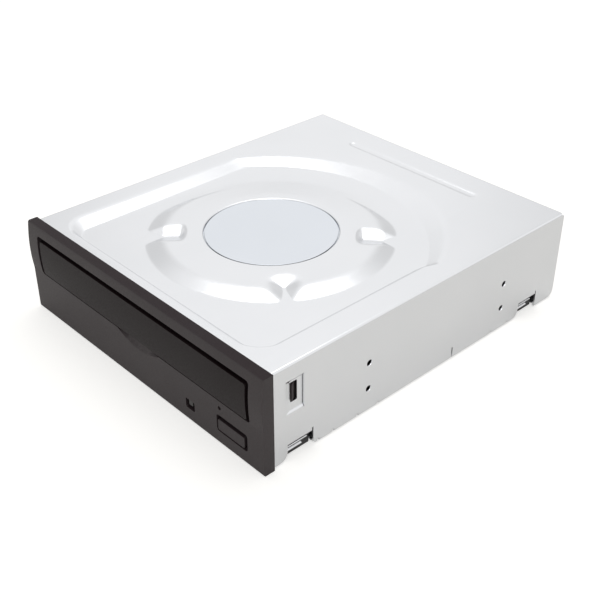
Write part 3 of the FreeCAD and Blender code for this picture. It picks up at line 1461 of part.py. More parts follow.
def lead_screw():
    """The feed screw, its thread drawn as level ridges."""
    y0, y1 = behind(SCREW_Y[0]), behind(SCREW_Y[1])
    core = rod(SCREW_CORE_R, V(SCREW_X, y0, ROD_Z), V(SCREW_X, y1 + SCREW_PITCH, ROD_Z))
    count = int((y1 - y0) / SCREW_PITCH) - 2 * SCREW_PLAIN_TURNS
    ridges = []
    for index in range(count):
        start = y0 + (index + SCREW_PLAIN_TURNS) * SCREW_PITCH
        ridges.append(rod(SCREW_R, V(SCREW_X, start, ROD_Z), V(SCREW_X, start + SCREW_PITCH / 2, ROD_Z)))
    return lowered(joined(core, *ridges))


def sled_motor():
    y0 = behind(SCREW_Y[1])
    can = rod(SLED_MOTOR_R, V(SCREW_X, y0, ROD_Z), V(SCREW_X, y0 + SLED_MOTOR_L, ROD_Z))
    bore = rod(SCREW_CORE_R + RUNNING_FIT, V(SCREW_X, y0, ROD_Z), V(SCREW_X, y0 + SCREW_PITCH + GAP, ROD_Z))
    return lowered(can.cut(bore))


def sled_bracket():
    """The steel bracket that holds the feed screw's front end and the sled motor."""
    y0, y1 = behind(SCREW_Y[0]), behind(SCREW_Y[1])
    low = ROD_Z - BRACKET_HALF
    ears = [
        box(SCREW_X - BRACKET_HALF, SCREW_X + BRACKET_HALF, y0, y0 + BRACKET_T, low, PLATE_Z),
        box(SCREW_X - BRACKET_HALF, SCREW_X + BRACKET_HALF, y1 - BRACKET_T, y1, low, PLATE_Z),
    ]
    strip = box(SCREW_X, SCREW_X + BRACKET_HALF, y0, y1, PLATE_Z - BRACKET_STRIP, PLATE_Z)
    bore = rod(SCREW_CORE_R + RUNNING_FIT, V(SCREW_X, y0, ROD_Z), V(SCREW_X, y1, ROD_Z))
    return lowered(joined(strip, *ears).cut(bore))


def screw_follower():
    """The block on the pickup's side that the feed screw drives."""
    y0 = PICKUP_Y0 + FOLLOWER_SETBACK
    block = box(PICKUP_HALF, SCREW_X + BRACKET_HALF, y0, y0 + FOLLOWER_L, FOLLOWER_Z[0], FOLLOWER_Z[1])
    bore = rod(SCREW_R + FOLLOWER_FIT, V(SCREW_X, y0, ROD_Z), V(SCREW_X, y0 + FOLLOWER_L, ROD_Z))
    rod_clear = box(
        PICKUP_HALF, PICKUP_HALF + GAP, y0, y0 + FOLLOWER_L, ROD_Z - ROD_R - GAP, ROD_Z + ROD_R + GAP,
    )
    return lowered(block.cut([bore, rod_clear]))


# Clamper


def bridge_screw_spots():
    x = (FRAME_IN + FRAME_OUT) / 2
    reach = BRIDGE_HALF_Y - 2 * BRIDGE_SCREW_HEAD_R
    return [(side * x, HUB_Y + end * reach) for side in (-1, 1) for end in (-1, 1)]


def clamper_bridge():
    top = BRIDGE_Z + BRIDGE_T
    bar = box(-FRAME_OUT, FRAME_OUT, HUB_Y - BRIDGE_HALF_Y, HUB_Y + BRIDGE_HALF_Y, BRIDGE_Z, top)
    disc = post(BRIDGE_RING_R, HUB_X, HUB_Y, BRIDGE_Z, top)
    holes = [post(BRIDGE_HOLE_R, HUB_X, HUB_Y, BRIDGE_Z, top)]
    for x, y in bridge_screw_spots():
        holes.append(post(BRIDGE_SCREW_R + RUNNING_FIT, x, y, BRIDGE_Z, top))
    return joined(bar, disc).cut(holes)


def clamper_levels():
    """Underside and top of the clamper's flange, which hangs just over the bridge."""
    low = BRIDGE_Z + BRIDGE_T + GAP
    return low, low + CLAMPER_FLANGE_T


def clamper_hub():
    low, high = clamper_levels()
    puck = post(CLAMPER_R, HUB_X, HUB_Y, CLAMPER_BOTTOM, high)
    flange = post(CLAMPER_FLANGE_R, HUB_X, HUB_Y, low, high)
    cup = post(CLAMPER_CUP_R, HUB_X, HUB_Y, CLAMPER_BOTTOM, CLAMPER_BOTTOM + CLAMPER_CUP)
    seat = post(YOKE_MAGNET_R + RUNNING_FIT, HUB_X, HUB_Y, high - YOKE_MAGNET_T, high)
    return joined(puck, flange).cut([cup, seat])


def clamper_magnet():
    high = clamper_levels()[1]
    return ring(YOKE_MAGNET_R, YOKE_MAGNET_BORE, HUB_X, HUB_Y, high - YOKE_MAGNET_T, high)


def clamper_cap():
    high = clamper_levels()[1]
    return post(YOKE_MAGNET_R + YOKE_CAP_REACH, HUB_X, HUB_Y, high, high + YOKE_CAP_T)


# Main board


def main_board():
    board = rounded_plate(
        -BOARD_HALF, BOARD_HALF, behind(BOARD_FRONT), CASE_BACK - BOARD_REAR_MARGIN,
        BOARD_CORNER, BOARD_Z, BOARD_TOP,
    )
    hole_r = BOARD_SCREW_R + RUNNING_FIT
    holes = [post(hole_r, x, y, BOARD_Z, BOARD_TOP) for x in BOARD_SCREW_XS for y in BOARD_SCREW_YS]
    return board.cut(holes)


def board_screws():
    screws = [
        screw(x, y, BOARD_TOP, BOARD_SCREW_R, BOARD_SCREW_HEAD_R, BOARD_SCREW_LENGTH, BOARD_SCREW_HEAD)
        for x in BOARD_SCREW_XS for y in BOARD_SCREW_YS
    ]
    seat = FRONT_BOARD_Z[0]
    for x, y in FRONT_POSTS:
        screws.append(
            screw(
                x, behind(y), seat, BOARD_SCREW_R, BOARD_SCREW_HEAD_R,
                BOARD_SCREW_LENGTH, FRONT_SCREW_HEAD, up=-1,
            )
        )
    return group(screws)


def sata_tongue_z():
    return BOARD_TOP + SATA_FLOOR + (SATA_H - SATA_FLOOR) / 2


def sata_connector():
    x0, x1 = SATA_X
    y0, y1 = CASE_BACK - SATA_DEPTH, CASE_BACK
    body = box(x0, x1, y0, y1, BOARD_TOP, BOARD_TOP + SATA_H)
    mouth = box(
        x0 + SATA_WALL, x1 - SATA_WALL, y0 + 2 * SATA_WALL, y1,
        BOARD_TOP + SATA_FLOOR, BOARD_TOP + SATA_H - SATA_WALL,
    )
    z0, z1 = sata_tongue_z() - SATA_TONGUE / 2, sata_tongue_z() + SATA_TONGUE / 2
    tongues = [box(start, end, y0, y1 - SATA_WALL, z0, z1) for start, end in SATA_TONGUES]
    return joined(body.cut(mouth), *tongues)


def sata_contacts():
    """Gold strips on the two tongues, in rows of the standard pitch."""
    z = sata_tongue_z() + SATA_TONGUE / 2
    y0, y1 = CASE_BACK - SATA_DEPTH + 2 * SATA_WALL + GAP, CASE_BACK - 2 * SATA_WALL
    strips = []
    for start, end in SATA_TONGUES:
        count = int((end - start - SATA_PITCH) / SATA_PITCH)
        first = (start + end - (count - 1) * SATA_PITCH) / 2
        for index in range(count):
            x = first + index * SATA_PITCH
            strips.append(box(x - SATA_STRIP_W / 2, x + SATA_STRIP_W / 2, y0, y1, z, z + SATA_STRIP_T))
    return group(strips)


def chip(at, width, depth, z0, z1):
    x, y = at[0], behind(at[1])
    return box(x - width / 2, x + width / 2, y - depth / 2, y + depth / 2, z0, z1)


def controller_chip():
    return chip(CONTROLLER_AT, CONTROLLER, CONTROLLER, BOARD_TOP, BOARD_TOP + CHIP_T)


def memory_chip():
    return chip(MEMORY_AT, MEMORY[0], MEMORY[1], BOARD_TOP, BOARD_TOP + CHIP_T)


def driver_chip():
    return chip(DRIVER_AT, DRIVER[0], DRIVER[1], BOARD_Z - CHIP_T, BOARD_Z)


def thermal_pad():
    return chip(DRIVER_AT, DRIVER[0], DRIVER[1], PAN_TOP, BOARD_Z - CHIP_T)


def capacitors():
    return group(post(CAN_R, x, behind(y), BOARD_TOP, BOARD_TOP + CAN_H) for x, y in CAN_SPOTS)


def socket(x, width, y0, z):
    half = width / 2 + SOCKET_MARGIN
    return box(x - half, x + half, y0, y0 + SOCKET_DEPTH, z, z + SOCKET_H)


def ribbon_sockets():
    return group([
        socket(HUB_X, PICKUP_RIBBON_W, behind(PICKUP_RIBBON_Y[0]) - SOCKET_DEPTH, BOARD_TOP),
        socket(MOTOR_RIBBON_X, MOTOR_RIBBON_W, behind(MOTOR_RIBBON_Y[2]), BOARD_TOP),
        socket(FRONT_RIBBON_X, FRONT_RIBBON_W, behind(FRONT_RIBBON_Y[3]), BOARD_TOP),
        socket(FRONT_RIBBON_X, FRONT_RIBBON_W, behind(FRONT_SOCKET_Y), FRONT_BOARD_Z[1]),
    ])


def ribbon(x, width, path):
    """A flat ribbon cable swept along a path in the Y and Z directions that starts along Y."""
    start = path.OrderedVertexes[0].Point
    half, thick = width / 2, RIBBON_T / 2
    section = Part.makePolygon([
        start + V(x - half, 0, -thick),
        start + V(x + half, 0, -thick),
        start + V(x + half, 0, thick),
        start + V(x - half, 0, thick),
        start + V(x - half, 0, -thick),
    ])
    return path.translated(V(x, 0, 0)).makePipeShell([section], True, False)


def bend_down(y, z, drop):
    """Two quarter turns that take a ribbon running back along Y down by drop."""
    radius = drop / 2
    first, middle, last = V(0, y, z), V(0, y + radius, z - radius), V(0, y + drop, z - drop)
    return [
        corner(V(0, y, z - radius), first, middle),
        corner(V(0, y + drop, z - radius), middle, last),
    ]


def bend_up(y, z, rise):
    """Two quarter turns that take a ribbon running back along Y up by rise."""
    radius = rise / 2
    first, middle, last = V(0, y, z), V(0, y + radius, z + radius), V(0, y + rise, z + rise)
    return [
        corner(V(0, y, z + radius), first, middle),
        corner(V(0, y + rise, z + radius), middle, last),
    ]


def pickup_ribbon():
    start, turn, end = (behind(y) for y in PICKUP_RIBBON_Y)
    low = RIBBON_Z
    high = lowered_height(end, PICKUP_Z[0]) - GAP - RIBBON_T / 2
    path = outline(
        V(0, start, low),
        V(0, turn, low),
        (V(0, turn + (high - low) / 2, (low + high) / 2), V(0, turn, high)),
        V(0, end, high),
    )
    return ribbon(HUB_X, PICKUP_RIBBON_W, path)


def motor_ribbon():
    start, turn, end = (behind(y) for y in MOTOR_RIBBON_Y)
    high = lowered_height(start, PLATE_Z - SPINDLE_BASE_T) - GAP - RIBBON_T / 2
    path = outline(
        V(0, start, high),
        V(0, turn, high),
        *bend_down(turn, high, high - RIBBON_Z),
        V(0, end, RIBBON_Z),
    )
    return ribbon(MOTOR_RIBBON_X, MOTOR_RIBBON_W, path)


def front_ribbon():
    start, dip, rise, end = (behind(y) for y in FRONT_RIBBON_Y)
    high = FRONT_BOARD_Z[1] + SOCKET_H / 2
    low = PAN_TOP + GAP + RIBBON_T
    path = outline(
        V(0, start, high),
        V(0, dip, high),
        *bend_down(dip, high, high - low),
        V(0, rise, low),
        *bend_up(rise, low, RIBBON_Z - low),
        V(0, end, RIBBON_Z),
    )
    return ribbon(FRONT_RIBBON_X, FRONT_RIBBON_W, path)


# Front board


def front_board():
    board = box(
        FRONT_BOARD_X[0], FRONT_BOARD_X[1], behind(FRONT_BOARD_Y[0]), behind(FRONT_BOARD_Y[1]),
        FRONT_BOARD_Z[0], FRONT_BOARD_Z[1],
    )
    hole_r = BOARD_SCREW_R + RUNNING_FIT
    holes = [post(hole_r, x, behind(y), FRONT_BOARD_Z[0], FRONT_BOARD_Z[1]) for x, y in FRONT_POSTS]
    return board.cut(holes)


def eject_switch():
    body = box(
        BUTTON_X - SWITCH_HALF, BUTTON_X + SWITCH_HALF, behind(SWITCH_Y[0]), behind(SWITCH_Y[1]),
        FRONT_BOARD_Z[1], SWITCH_TOP,
    )
    bore = rod(
        PLUNGER_R + RUNNING_FIT,
        V(BUTTON_X, behind(SWITCH_Y[0]), PLUNGER_Z),
        V(BUTTON_X, behind(PLUNGER_END + BUTTON_TRAVEL + GAP), PLUNGER_Z),
    )
    return body.cut(bore)


def status_led():
    half = LED_BODY / 2
    y0, y1 = behind(LED_BODY_Y[0]), behind(LED_BODY_Y[1])
    body = box(LED_X - half, LED_X + half, y0, y1, LED_Z - half, LED_Z + half)
    legs = []
    for x in (LED_X - LED_LEG_X, LED_X + LED_LEG_X):
        legs.append(box(x - LED_LEG / 2, x + LED_LEG / 2, y1 - LED_LEG, y1, FRONT_BOARD_Z[1], LED_Z))
    return joined(body, *legs)


NODES = dict(
    top_cover=top_cover,
    hub_plate=hub_plate,
    bottom_cover=bottom_cover,
    case_screws=case_screws,
    front_bezel=front_bezel,
    tray_door=tray_door,
    eject_button=eject_button,
    switch_plunger=switch_plunger,
    led_lens=led_lens,
    disc_tray=disc_tray,
    tray_gear=tray_gear,
    pulley_gear=pulley_gear,
    motor_pulley=motor_pulley,
    drive_belt=drive_belt,
    loading_motor=loading_motor,
    frame_screws=frame_screws,
    cam_slider=cam_slider,
    main_frame=main_frame,
    lift_frame=lift_frame,
    traverse_plate=traverse_plate,
    rubber_dampers=rubber_dampers,
    traverse_screws=traverse_screws,
    spindle_base=spindle_base,
    spindle_stator=spindle_stator,
    spindle_rotor=spindle_rotor,
    rotor_magnet=rotor_magnet,
    turntable=turntable,
    turntable_pad=turntable_pad,
    centring_cone=centring_cone,
    pickup_body=pickup_body,
    actuator_cover=actuator_cover,
    lens_holder=lens_holder,
    objective_lens=objective_lens,
    main_guide_rod=lambda: guide_rod(-ROD_X),
    side_guide_rod=lambda: guide_rod(ROD_X),
    rod_clips=rod_clips,
    lead_screw=lead_screw,
    sled_motor=sled_motor,
    sled_bracket=sled_bracket,
    screw_follower=screw_follower,
    clamper_bridge=clamper_bridge,
    clamper_hub=clamper_hub,
    clamper_magnet=clamper_magnet,
    clamper_cap=clamper_cap,
    main_board=main_board,
    board_screws=board_screws,
    sata_connector=sata_connector,
    sata_contacts=sata_contacts,
    controller_chip=controller_chip,
    memory_chip=memory_chip,
    driver_chip=driver_chip,
    thermal_pad=thermal_pad,
    capacitors=capacitors,
    ribbon_sockets=ribbon_sockets,
    pickup_ribbon=pickup_ribbon,
    motor_ribbon=motor_ribbon,
    front_ribbon=front_ribbon,
    front_board=front_board,
    eject_switch=eject_switch,
    status_led=status_led,
)

os.makedirs("parts", exist_ok=True)
for name, make in NODES.items():
    make().exportStep(os.path.join("parts", name + ".step"))
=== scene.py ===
"""Looks of a half-height disc drive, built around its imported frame. Metres, in the frame's own axes."""

import math

import bmesh
import bpy
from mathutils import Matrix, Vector


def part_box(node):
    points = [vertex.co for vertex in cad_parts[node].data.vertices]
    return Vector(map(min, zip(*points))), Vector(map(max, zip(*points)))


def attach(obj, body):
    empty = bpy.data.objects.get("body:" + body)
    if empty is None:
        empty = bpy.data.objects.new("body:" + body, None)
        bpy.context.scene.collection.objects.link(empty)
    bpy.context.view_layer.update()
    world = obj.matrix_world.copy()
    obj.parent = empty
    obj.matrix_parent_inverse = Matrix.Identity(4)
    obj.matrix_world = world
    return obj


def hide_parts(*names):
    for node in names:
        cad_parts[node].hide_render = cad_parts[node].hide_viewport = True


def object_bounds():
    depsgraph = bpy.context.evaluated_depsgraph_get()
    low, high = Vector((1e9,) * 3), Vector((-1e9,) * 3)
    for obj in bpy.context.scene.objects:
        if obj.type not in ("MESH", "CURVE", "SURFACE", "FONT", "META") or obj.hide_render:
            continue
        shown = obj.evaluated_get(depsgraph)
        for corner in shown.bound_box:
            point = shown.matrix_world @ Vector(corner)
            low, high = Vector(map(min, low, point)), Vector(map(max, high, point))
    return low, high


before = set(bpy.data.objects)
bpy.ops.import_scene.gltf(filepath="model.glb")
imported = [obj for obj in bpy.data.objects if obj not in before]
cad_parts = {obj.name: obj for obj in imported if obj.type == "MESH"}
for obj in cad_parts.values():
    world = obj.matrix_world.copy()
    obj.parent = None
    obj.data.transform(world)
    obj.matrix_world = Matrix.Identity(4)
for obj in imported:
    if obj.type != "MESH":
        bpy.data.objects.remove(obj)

CAD_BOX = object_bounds()
MM = 0.001

# The case; its box is read from the frame
COVER_LOW, COVER_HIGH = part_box("top_cover")
HUB_LOW, HUB_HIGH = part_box("hub_plate")
HALF = COVER_HIGH.x
FRONT = COVER_LOW.y
BACK = COVER_HIGH.y
TOP = COVER_HIGH.z
FOOT = COVER_LOW.z
SHEET = 0.8 * MM
BEND = 1.2 * MM
BEND_STEPS = 6

# Sunk panel; its rim and floor are in millimetres, their y measured back from the front of the case
DISH_DEPTH = 2.3 * MM
DISH_RIM_SOFT = 1.6 * MM
DISH_FLOOR_SOFT = 0.5 * MM
DISH_RIM_SHARE = 0.75
DISH_FLOOR_SHARE = 0.25
DISH_RIM = dict(
    left=-63.0, right=61.2, front=4.3, corner=11.0, arc_y=67.0, arc_r=69.5, step=2.6, step_y=88.0,
)
DISH_FLOOR = dict(
    left=-55.0, right=59.0, front=6.2, corner=6.5, arc_y=58.2, arc_r=68.3, step=0.5, step_y=87.0,
)
DISH_Z = TOP - DISH_DEPTH
DISH_FRONT_STEPS = 20
DISH_CORNER_STEPS = 10
DISH_SIDE_STEPS = 12
DISH_OFFSET_STEPS = 5
DISH_ARC_STEPS = 72
ROUNDING_STATIONS = (-1.0, -0.5, 0.0, 0.5, 1.0)

# Round plateau with its hole and the notches in its edge; lengths inside a notch are in millimetres
HUB_X = (HUB_LOW.x + HUB_HIGH.x) / 2
HUB_Y = (HUB_LOW.y + HUB_HIGH.y) / 2
PLATEAU_SUNK = 0.2 * MM
PLATEAU_Z = TOP - PLATEAU_SUNK
PLATEAU_TOP_R = 44.5 * MM
PLATEAU_FOOT_R = 51.0 * MM
PLATEAU_TOP_SOFT = 2.4 * MM
PLATEAU_FOOT_SOFT = 0.8 * MM
PLATEAU_STEEP_LEAST = 0.1
PLATEAU_REAR_R = (31.5 * MM, 50.0 * MM)
PLATEAU_REAR_SOFT = 2.5 * MM
PLATEAU_REAR_DEGREES = 130
PLATEAU_REAR_TURN = (0.25, 0.75)
PLATEAU_TURN_SOFT = 0.1
HUB_HOLE_R = 27.85 * MM
HOLE_ROUND = 0.5 * MM
HOLE_TURNS = (30, 60, 90)
PLATEAU_NOTCHES = (
    dict(degrees=40, end_r=37.3, mouth_r=45.6, ramp_slope=0.85, side_slope=0.33, flare=0.8, soft=0.5),
    dict(degrees=230, end_r=37.3, mouth_r=44.4, ramp_slope=0.85, side_slope=0.33, flare=0.8, soft=0.5),
    dict(degrees=325, end_r=40.8, mouth_r=43.5, ramp_slope=0.38, side_slope=0.34, flare=0.2, soft=0.9),
)
PLATEAU_NOTCH_INNER_R = 31.0 * MM
PLATEAU_NOTCH_HALF = 0.6 * MM
HILL_STEP = 0.5 * MM
HILL_TURNS = 720

# Rear bead
BEAD_Y = 149.0 * MM
BEAD_HALF = 36.0 * MM
BEAD_R = 2.2 * MM
BEAD_FOOT = 1.0 * MM
BEAD_DEPTH = 0.4 * MM
BEAD_SOFT = 0.6 * MM
BEAD_ROWS = 8
BEAD_END_STEPS = 16

# Side walls
SNAP_DEPTH = 0.8 * MM
SNAP_START = 4.6 * MM
SNAP_FRONT_RUN = 2.6
SNAP_END = 14.6 * MM
SNAP_Z = (20.3 * MM, 35.2 * MM)
SNAP_ROUND = 0.9 * MM
SNAP_ROUND_STEPS = 5
SNAP_SLOPE = 1.5 * MM
SNAP_STEPS = 6
SNAP_CUT = 0.15 * MM
WINDOW_Y = (8.8 * MM, 12.0 * MM)
WINDOW_Z = (24.7 * MM, 33.2 * MM)
NOTCH_TOP = 7.2 * MM
NOTCH_FRONT = (6.8 * MM, 18.6 * MM)
NOTCH_REAR = (139.2 * MM, 150.8 * MM)
SLIT = 0.6 * MM
SLIT_RISE = 1.4 * MM
EDGE_ROUND = 3.4 * MM
EDGE_STEPS = 6
MID_SLIT_Y = 95.7 * MM
MID_SLIT_TOP = 5.6 * MM
MOUNT_R = 1.25 * MM
MOUNT_FLARE = 0.35 * MM
MOUNT_YS = (47.4 * MM, 126.65 * MM)
MOUNT_ZS = (FOOT + 10.0 * MM, FOOT + 21.84 * MM)
MOUNT_BOTTOM_INSET = 3.35 * MM
TAB_HALF = 5.0 * MM
TAB_REACH = 7.6 * MM
FRONT_TAB_Y = 25.5 * MM
FRONT_TAB_HALF = 3.2 * MM
NICK = 1.0 * MM
NICK_TOP = FOOT + 1.3 * MM
TAB_MATCH = NICK / 4
REAR_EDGE = 13.0 * MM
VENT_COUNT = 7
VENT_X = -50.0 * MM
VENT_PITCH = 5.0 * MM
VENT_W = 2.0 * MM
VENT_Z = (20.0 * MM, 30.0 * MM)
VENT_ROUND = 0.5 * MM

# What shows in the side notches: lips on the bottom cover's flange, and below them dark blocks of frame
# plastic that stand in for the shadow there (painted shade)
FLANGE_BEHIND = 2.4 * MM
LIP_HALF = 0.3 * MM
LIP_RISE = 0.8 * MM
LIP_TURN = (-90, 60)
LIP_STEPS = 6
LIPS = (
    dict(nose=4.9 * MM, reach=1.3 * MM, share=0.86),
    dict(nose=3.0 * MM, reach=1.1 * MM, share=0.66),
)
SHADE_BLOCK_REACH = 0.5 * MM
SHADE_BLOCK_ROUND = 0.15 * MM
SHADE_BLOCK_Z = (FOOT + 0.2 * MM, 5.4 * MM)
NOTCH_MARGIN = 0.1 * MM

# Softened edges and own materials of the nodes that stay
EDGE_WIDTHS = {
    "front_bezel": 0.35 * MM,
    "tray_door": 0.3 * MM,
    "eject_button": 0.25 * MM,
    "disc_tray": 0.2 * MM,
}
EDGE_DEFAULT = 0.1 * MM
EDGE_SEGMENTS = 2
EDGE_DEGREES = 40
FLAT_DEGREES = 0.5
WELD_REACH = 0.002 * MM
OWN_MATERIALS = {"tray_door": "door_plastic"}

# Camera, as fitted to the photograph
CAMERA_AT = (0.2729, -0.2526, 0.2430)
CAMERA_LOOK = (-0.6135, 0.5704, -0.5461)
CAMERA_LENS = 60.7
SENSOR = 36.0
CLIP_START = 0.01

# Floor and light
WORLD_DIFFUSE = 0.62
FLOOR_HALF = 4.0
FLOOR_COLOUR = (0.75, 0.74, 0.71, 1)
FLOOR_GLOW = 0.5
FLOOR_GLEAM = 0.145
LAMPS = (
    dict(name="key", direction=(0.55, -0.48, 0.69), distance=1.2, size=0.8, power=2.0),
    dict(name="overhead", direction=(-0.20, 0.22, 0.95), distance=1.2, size=0.84, power=2.05),
)

# Where and how much metal sees the surroundings darker; limits are parts of a direction of length 1
ACROSS_VIEW = (0.68, 0.73, 0.0)
BESIDE_START = (0.15, 0.32)
BESIDE_END = (0.55, 0.72)
BESIDE_TOP = (0.58, 0.74)
BESIDE_DARK = 0.25
HORIZON_TOP = (0.12, 0.25)
HORIZON_DARK = 0.27

# Shading
SMOOTH_DEGREES = 35
NORMAL_WEIGHT = 100
NOISE_ROUGHNESS = 0.55
NOISE_SPAN = (0.3, 0.7)
# Painted shade: the front plastic's gloss falls on faces that look up, so tops render darker
TOP_SHADE_SPAN = (0.3, 0.9)
TOP_SHADE_GLOSS = 0.25
WHITE = (1, 1, 1, 1)


def behind(distance):
    """The y that lies this far behind the front of the case."""
    return FRONT + distance


# Mesh helpers


def arc_points(centre, radius, start, end, steps):
    """Points on an arc in two dimensions, angles in degrees, both ends included."""
    points = []
    for step in range(steps + 1):
        angle = math.radians(start + (end - start) * step / steps)
        points.append((centre[0] + radius * math.cos(angle), centre[1] + radius * math.sin(angle)))
    return points


def line_points(start, end, steps):
    """Points from start up to, but without, end."""
    return [
        (start[0] + (end[0] - start[0]) * step / steps, start[1] + (end[1] - start[1]) * step / steps)
        for step in range(steps)
    ]


def rounded_rectangle(x0, x1, y0, y1, radius, steps=4):
    points = []
    left, right = x0 + radius, x1 - radius
    low, high = y0 + radius, y1 - radius
    corners = ((right, high), (left, high), (left, low), (right, low))
    for index, corner in enumerate(corners):
        points.extend(arc_points(corner, radius, 90 * index, 90 * index + 90, steps))
    return points


def circle_points(centre, radius, steps=32):
    return arc_points(centre, radius, 0, 360, steps)[:-1]


def add_ring(bm, points):
    return [bm.verts.new(point) for point in points]


def bridge(bm, first, second, closed=True):
    """Quads between two rows of vertices with the same count."""
    count = len(first)
    for index in range(count if closed else count - 1):
        after = (index + 1) % count
        bm.faces.new((first[index], first[after], second[after], second[index]))


def ring_edges(bm, ring):
    edges = []
    count = len(ring)
    for index in range(count):
        pair = (ring[index], ring[(index + 1) % count])
        edges.append(bm.edges.get(pair) or bm.edges.new(pair))
    return edges


def fill(bm, rings, normal):
    """A flat face inside the first ring, with the other rings as holes."""
    edges = []
    for ring in rings:
        edges.extend(ring_edges(bm, ring))
    bmesh.ops.triangle_fill(bm, use_beauty=True, use_dissolve=False, edges=edges, normal=normal)


def soft_step(place, start, end, start_soft, end_soft):
    """How far along a slope a place is, from 0 to 1, with both ends of the slope rounded."""
    slope = 1 / (end - start)
    if place <= start - start_soft:
        return 0.0
    if place < start + start_soft:
        return slope * (place - start + start_soft) ** 2 / (4 * start_soft)
    if place <= end - end_soft:
        return slope * (place - start)
    if place < end + end_soft:
        return 1 - slope * (end + end_soft - place) ** 2 / (4 * end_soft)
    return 1.0


def new_piece(name, bm, body):
    mesh = bpy.data.meshes.new(name)
    bm.to_mesh(mesh)
    bm.free()
    piece = bpy.data.objects.new(name, mesh)
    bpy.context.scene.collection.objects.link(piece)
    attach(piece, body)
    return piece


def bake_modifiers(piece):
    """Replaces a piece's mesh by what its modifiers make of it."""
    graph = bpy.context.evaluated_depsgraph_get()
    mesh = bpy.data.meshes.new_from_object(piece.evaluated_get(graph))
    piece.modifiers.clear()
    piece.data = mesh


def smooth(piece):
    """Smooth shading that keeps sharp edges, with flat faces staying flat."""
    mesh = piece.data
    mesh.polygons.foreach_set("use_smooth", [True] * len(mesh.polygons))
    mesh.set_sharp_from_angle(angle=math.radians(SMOOTH_DEGREES))
    normals = piece.modifiers.new("normals", "WEIGHTED_NORMAL")
    normals.keep_sharp = True
    normals.weight = NORMAL_WEIGHT


# Top cover


def dish_points(left, right, front, corner, arc_y, arc_r, step, step_y):
    """The D-shaped outline of the sunk panel, always with the same number of points."""
    left, right, corner, arc_r = left * MM, right * MM, corner * MM, arc_r * MM
    y0 = behind(front * MM)
    turn = y0 + corner
    arc_centre = (0, behind(arc_y * MM))
    arc_right = right + step * MM
    start = math.degrees(math.acos(arc_right / arc_r))
    end = math.degrees(math.acos(left / arc_r))
    arc = arc_points(arc_centre, arc_r, start, end, DISH_ARC_STEPS)
    step_foot = (right, behind(step_y * MM))
    points = line_points((left + corner, y0), (right - corner, y0), DISH_FRONT_STEPS)
    points += arc_points((right - corner, turn), corner, -90, 0, DISH_CORNER_STEPS)[:-1]
    points += line_points((right, turn), step_foot, DISH_SIDE_STEPS)
    points += line_points(step_foot, arc[0], DISH_OFFSET_STEPS)
    points += arc[:-1]
    points += line_points(arc[-1], (left, turn), DISH_SIDE_STEPS)
    points += arc_points((left + corner, turn), corner, 180, 270, DISH_CORNER_STEPS)[:-1]
    return points


def add_dish(bm):
    """The slope round the sunk panel. Returns its outer and inner rings."""
    rows = []
    rim = dish_points(**DISH_RIM)
    floor = dish_points(**DISH_FLOOR)
    for end in (0, 1):
        for station in ROUNDING_STATIONS:
            row = []
            for (x0, y0), (x1, y1) in zip(rim, floor):
                width = math.hypot(x1 - x0, y1 - y0)
                rim_soft = min(DISH_RIM_SOFT, DISH_RIM_SHARE * width)
                floor_soft = min(DISH_FLOOR_SOFT, DISH_FLOOR_SHARE * width)
                soft = (rim_soft, floor_soft)
                place = end * width + station * soft[end]
                share = place / width
                y = y0 + (y1 - y0) * share
                down = DISH_DEPTH * soft_step(place, 0, width, *soft)
                row.append((x0 + (x1 - x0) * share, y, TOP - down))
            rows.append(add_ring(bm, row))
    for first, second in zip(rows, rows[1:]):
        bridge(bm, first, second)
    return rows[0], rows[-1]


def cut_notch(hill, x, y, degrees, end_r, mouth_r, ramp_slope, side_slope, flare, soft):
    """The height left of a hill after a notch is cut in it, at a place measured from the hub."""
    angle = math.radians(degrees)
    along = x * math.cos(angle) + y * math.sin(angle)
    across = abs(y * math.cos(angle) - x * math.sin(angle))
    half = PLATEAU_NOTCH_HALF + flare * max(0, along - mouth_r * MM)
    ramp_rise = ramp_slope * max(0, end_r * MM - along)
    side_rise = side_slope * max(0, across - half)
    notch = DISH_Z + math.hypot(ramp_rise, side_rise)
    cut = hill - notch
    rounding = soft * MM
    if cut > rounding:
        return notch
    if cut > -rounding:
        return hill - (cut + rounding) ** 2 / (4 * rounding)
    return hill


def plateau_drop(x, y):
    """How far down to the sunk panel a place is, from 0 to 1; gentle at the rear, a step elsewhere."""
    radius = math.hypot(x, y)
    turn = math.atan2(y, x) - math.radians(PLATEAU_REAR_DEGREES)
    rear = soft_step(math.cos(turn), *PLATEAU_REAR_TURN, PLATEAU_TURN_SOFT, PLATEAU_TURN_SOFT)
    gentle = soft_step(radius, *PLATEAU_REAR_R, PLATEAU_REAR_SOFT, PLATEAU_REAR_SOFT)
    steep = max(1 - rear, PLATEAU_STEEP_LEAST)
    foot = PLATEAU_TOP_R + (PLATEAU_FOOT_R - PLATEAU_TOP_R) * steep
    step = soft_step(radius, PLATEAU_TOP_R, foot, PLATEAU_TOP_SOFT * steep, PLATEAU_FOOT_SOFT * steep)
    return rear * gentle + (1 - rear) * step


def hill_height(x, y):
    """Height of the plateau, its slope and its notches at a place measured from the hub."""
    hill = PLATEAU_Z - (PLATEAU_Z - DISH_Z) * plateau_drop(x, y)
    for notch in PLATEAU_NOTCHES:
        hill = cut_notch(hill, x, y, **notch)
    return max(hill, DISH_Z)


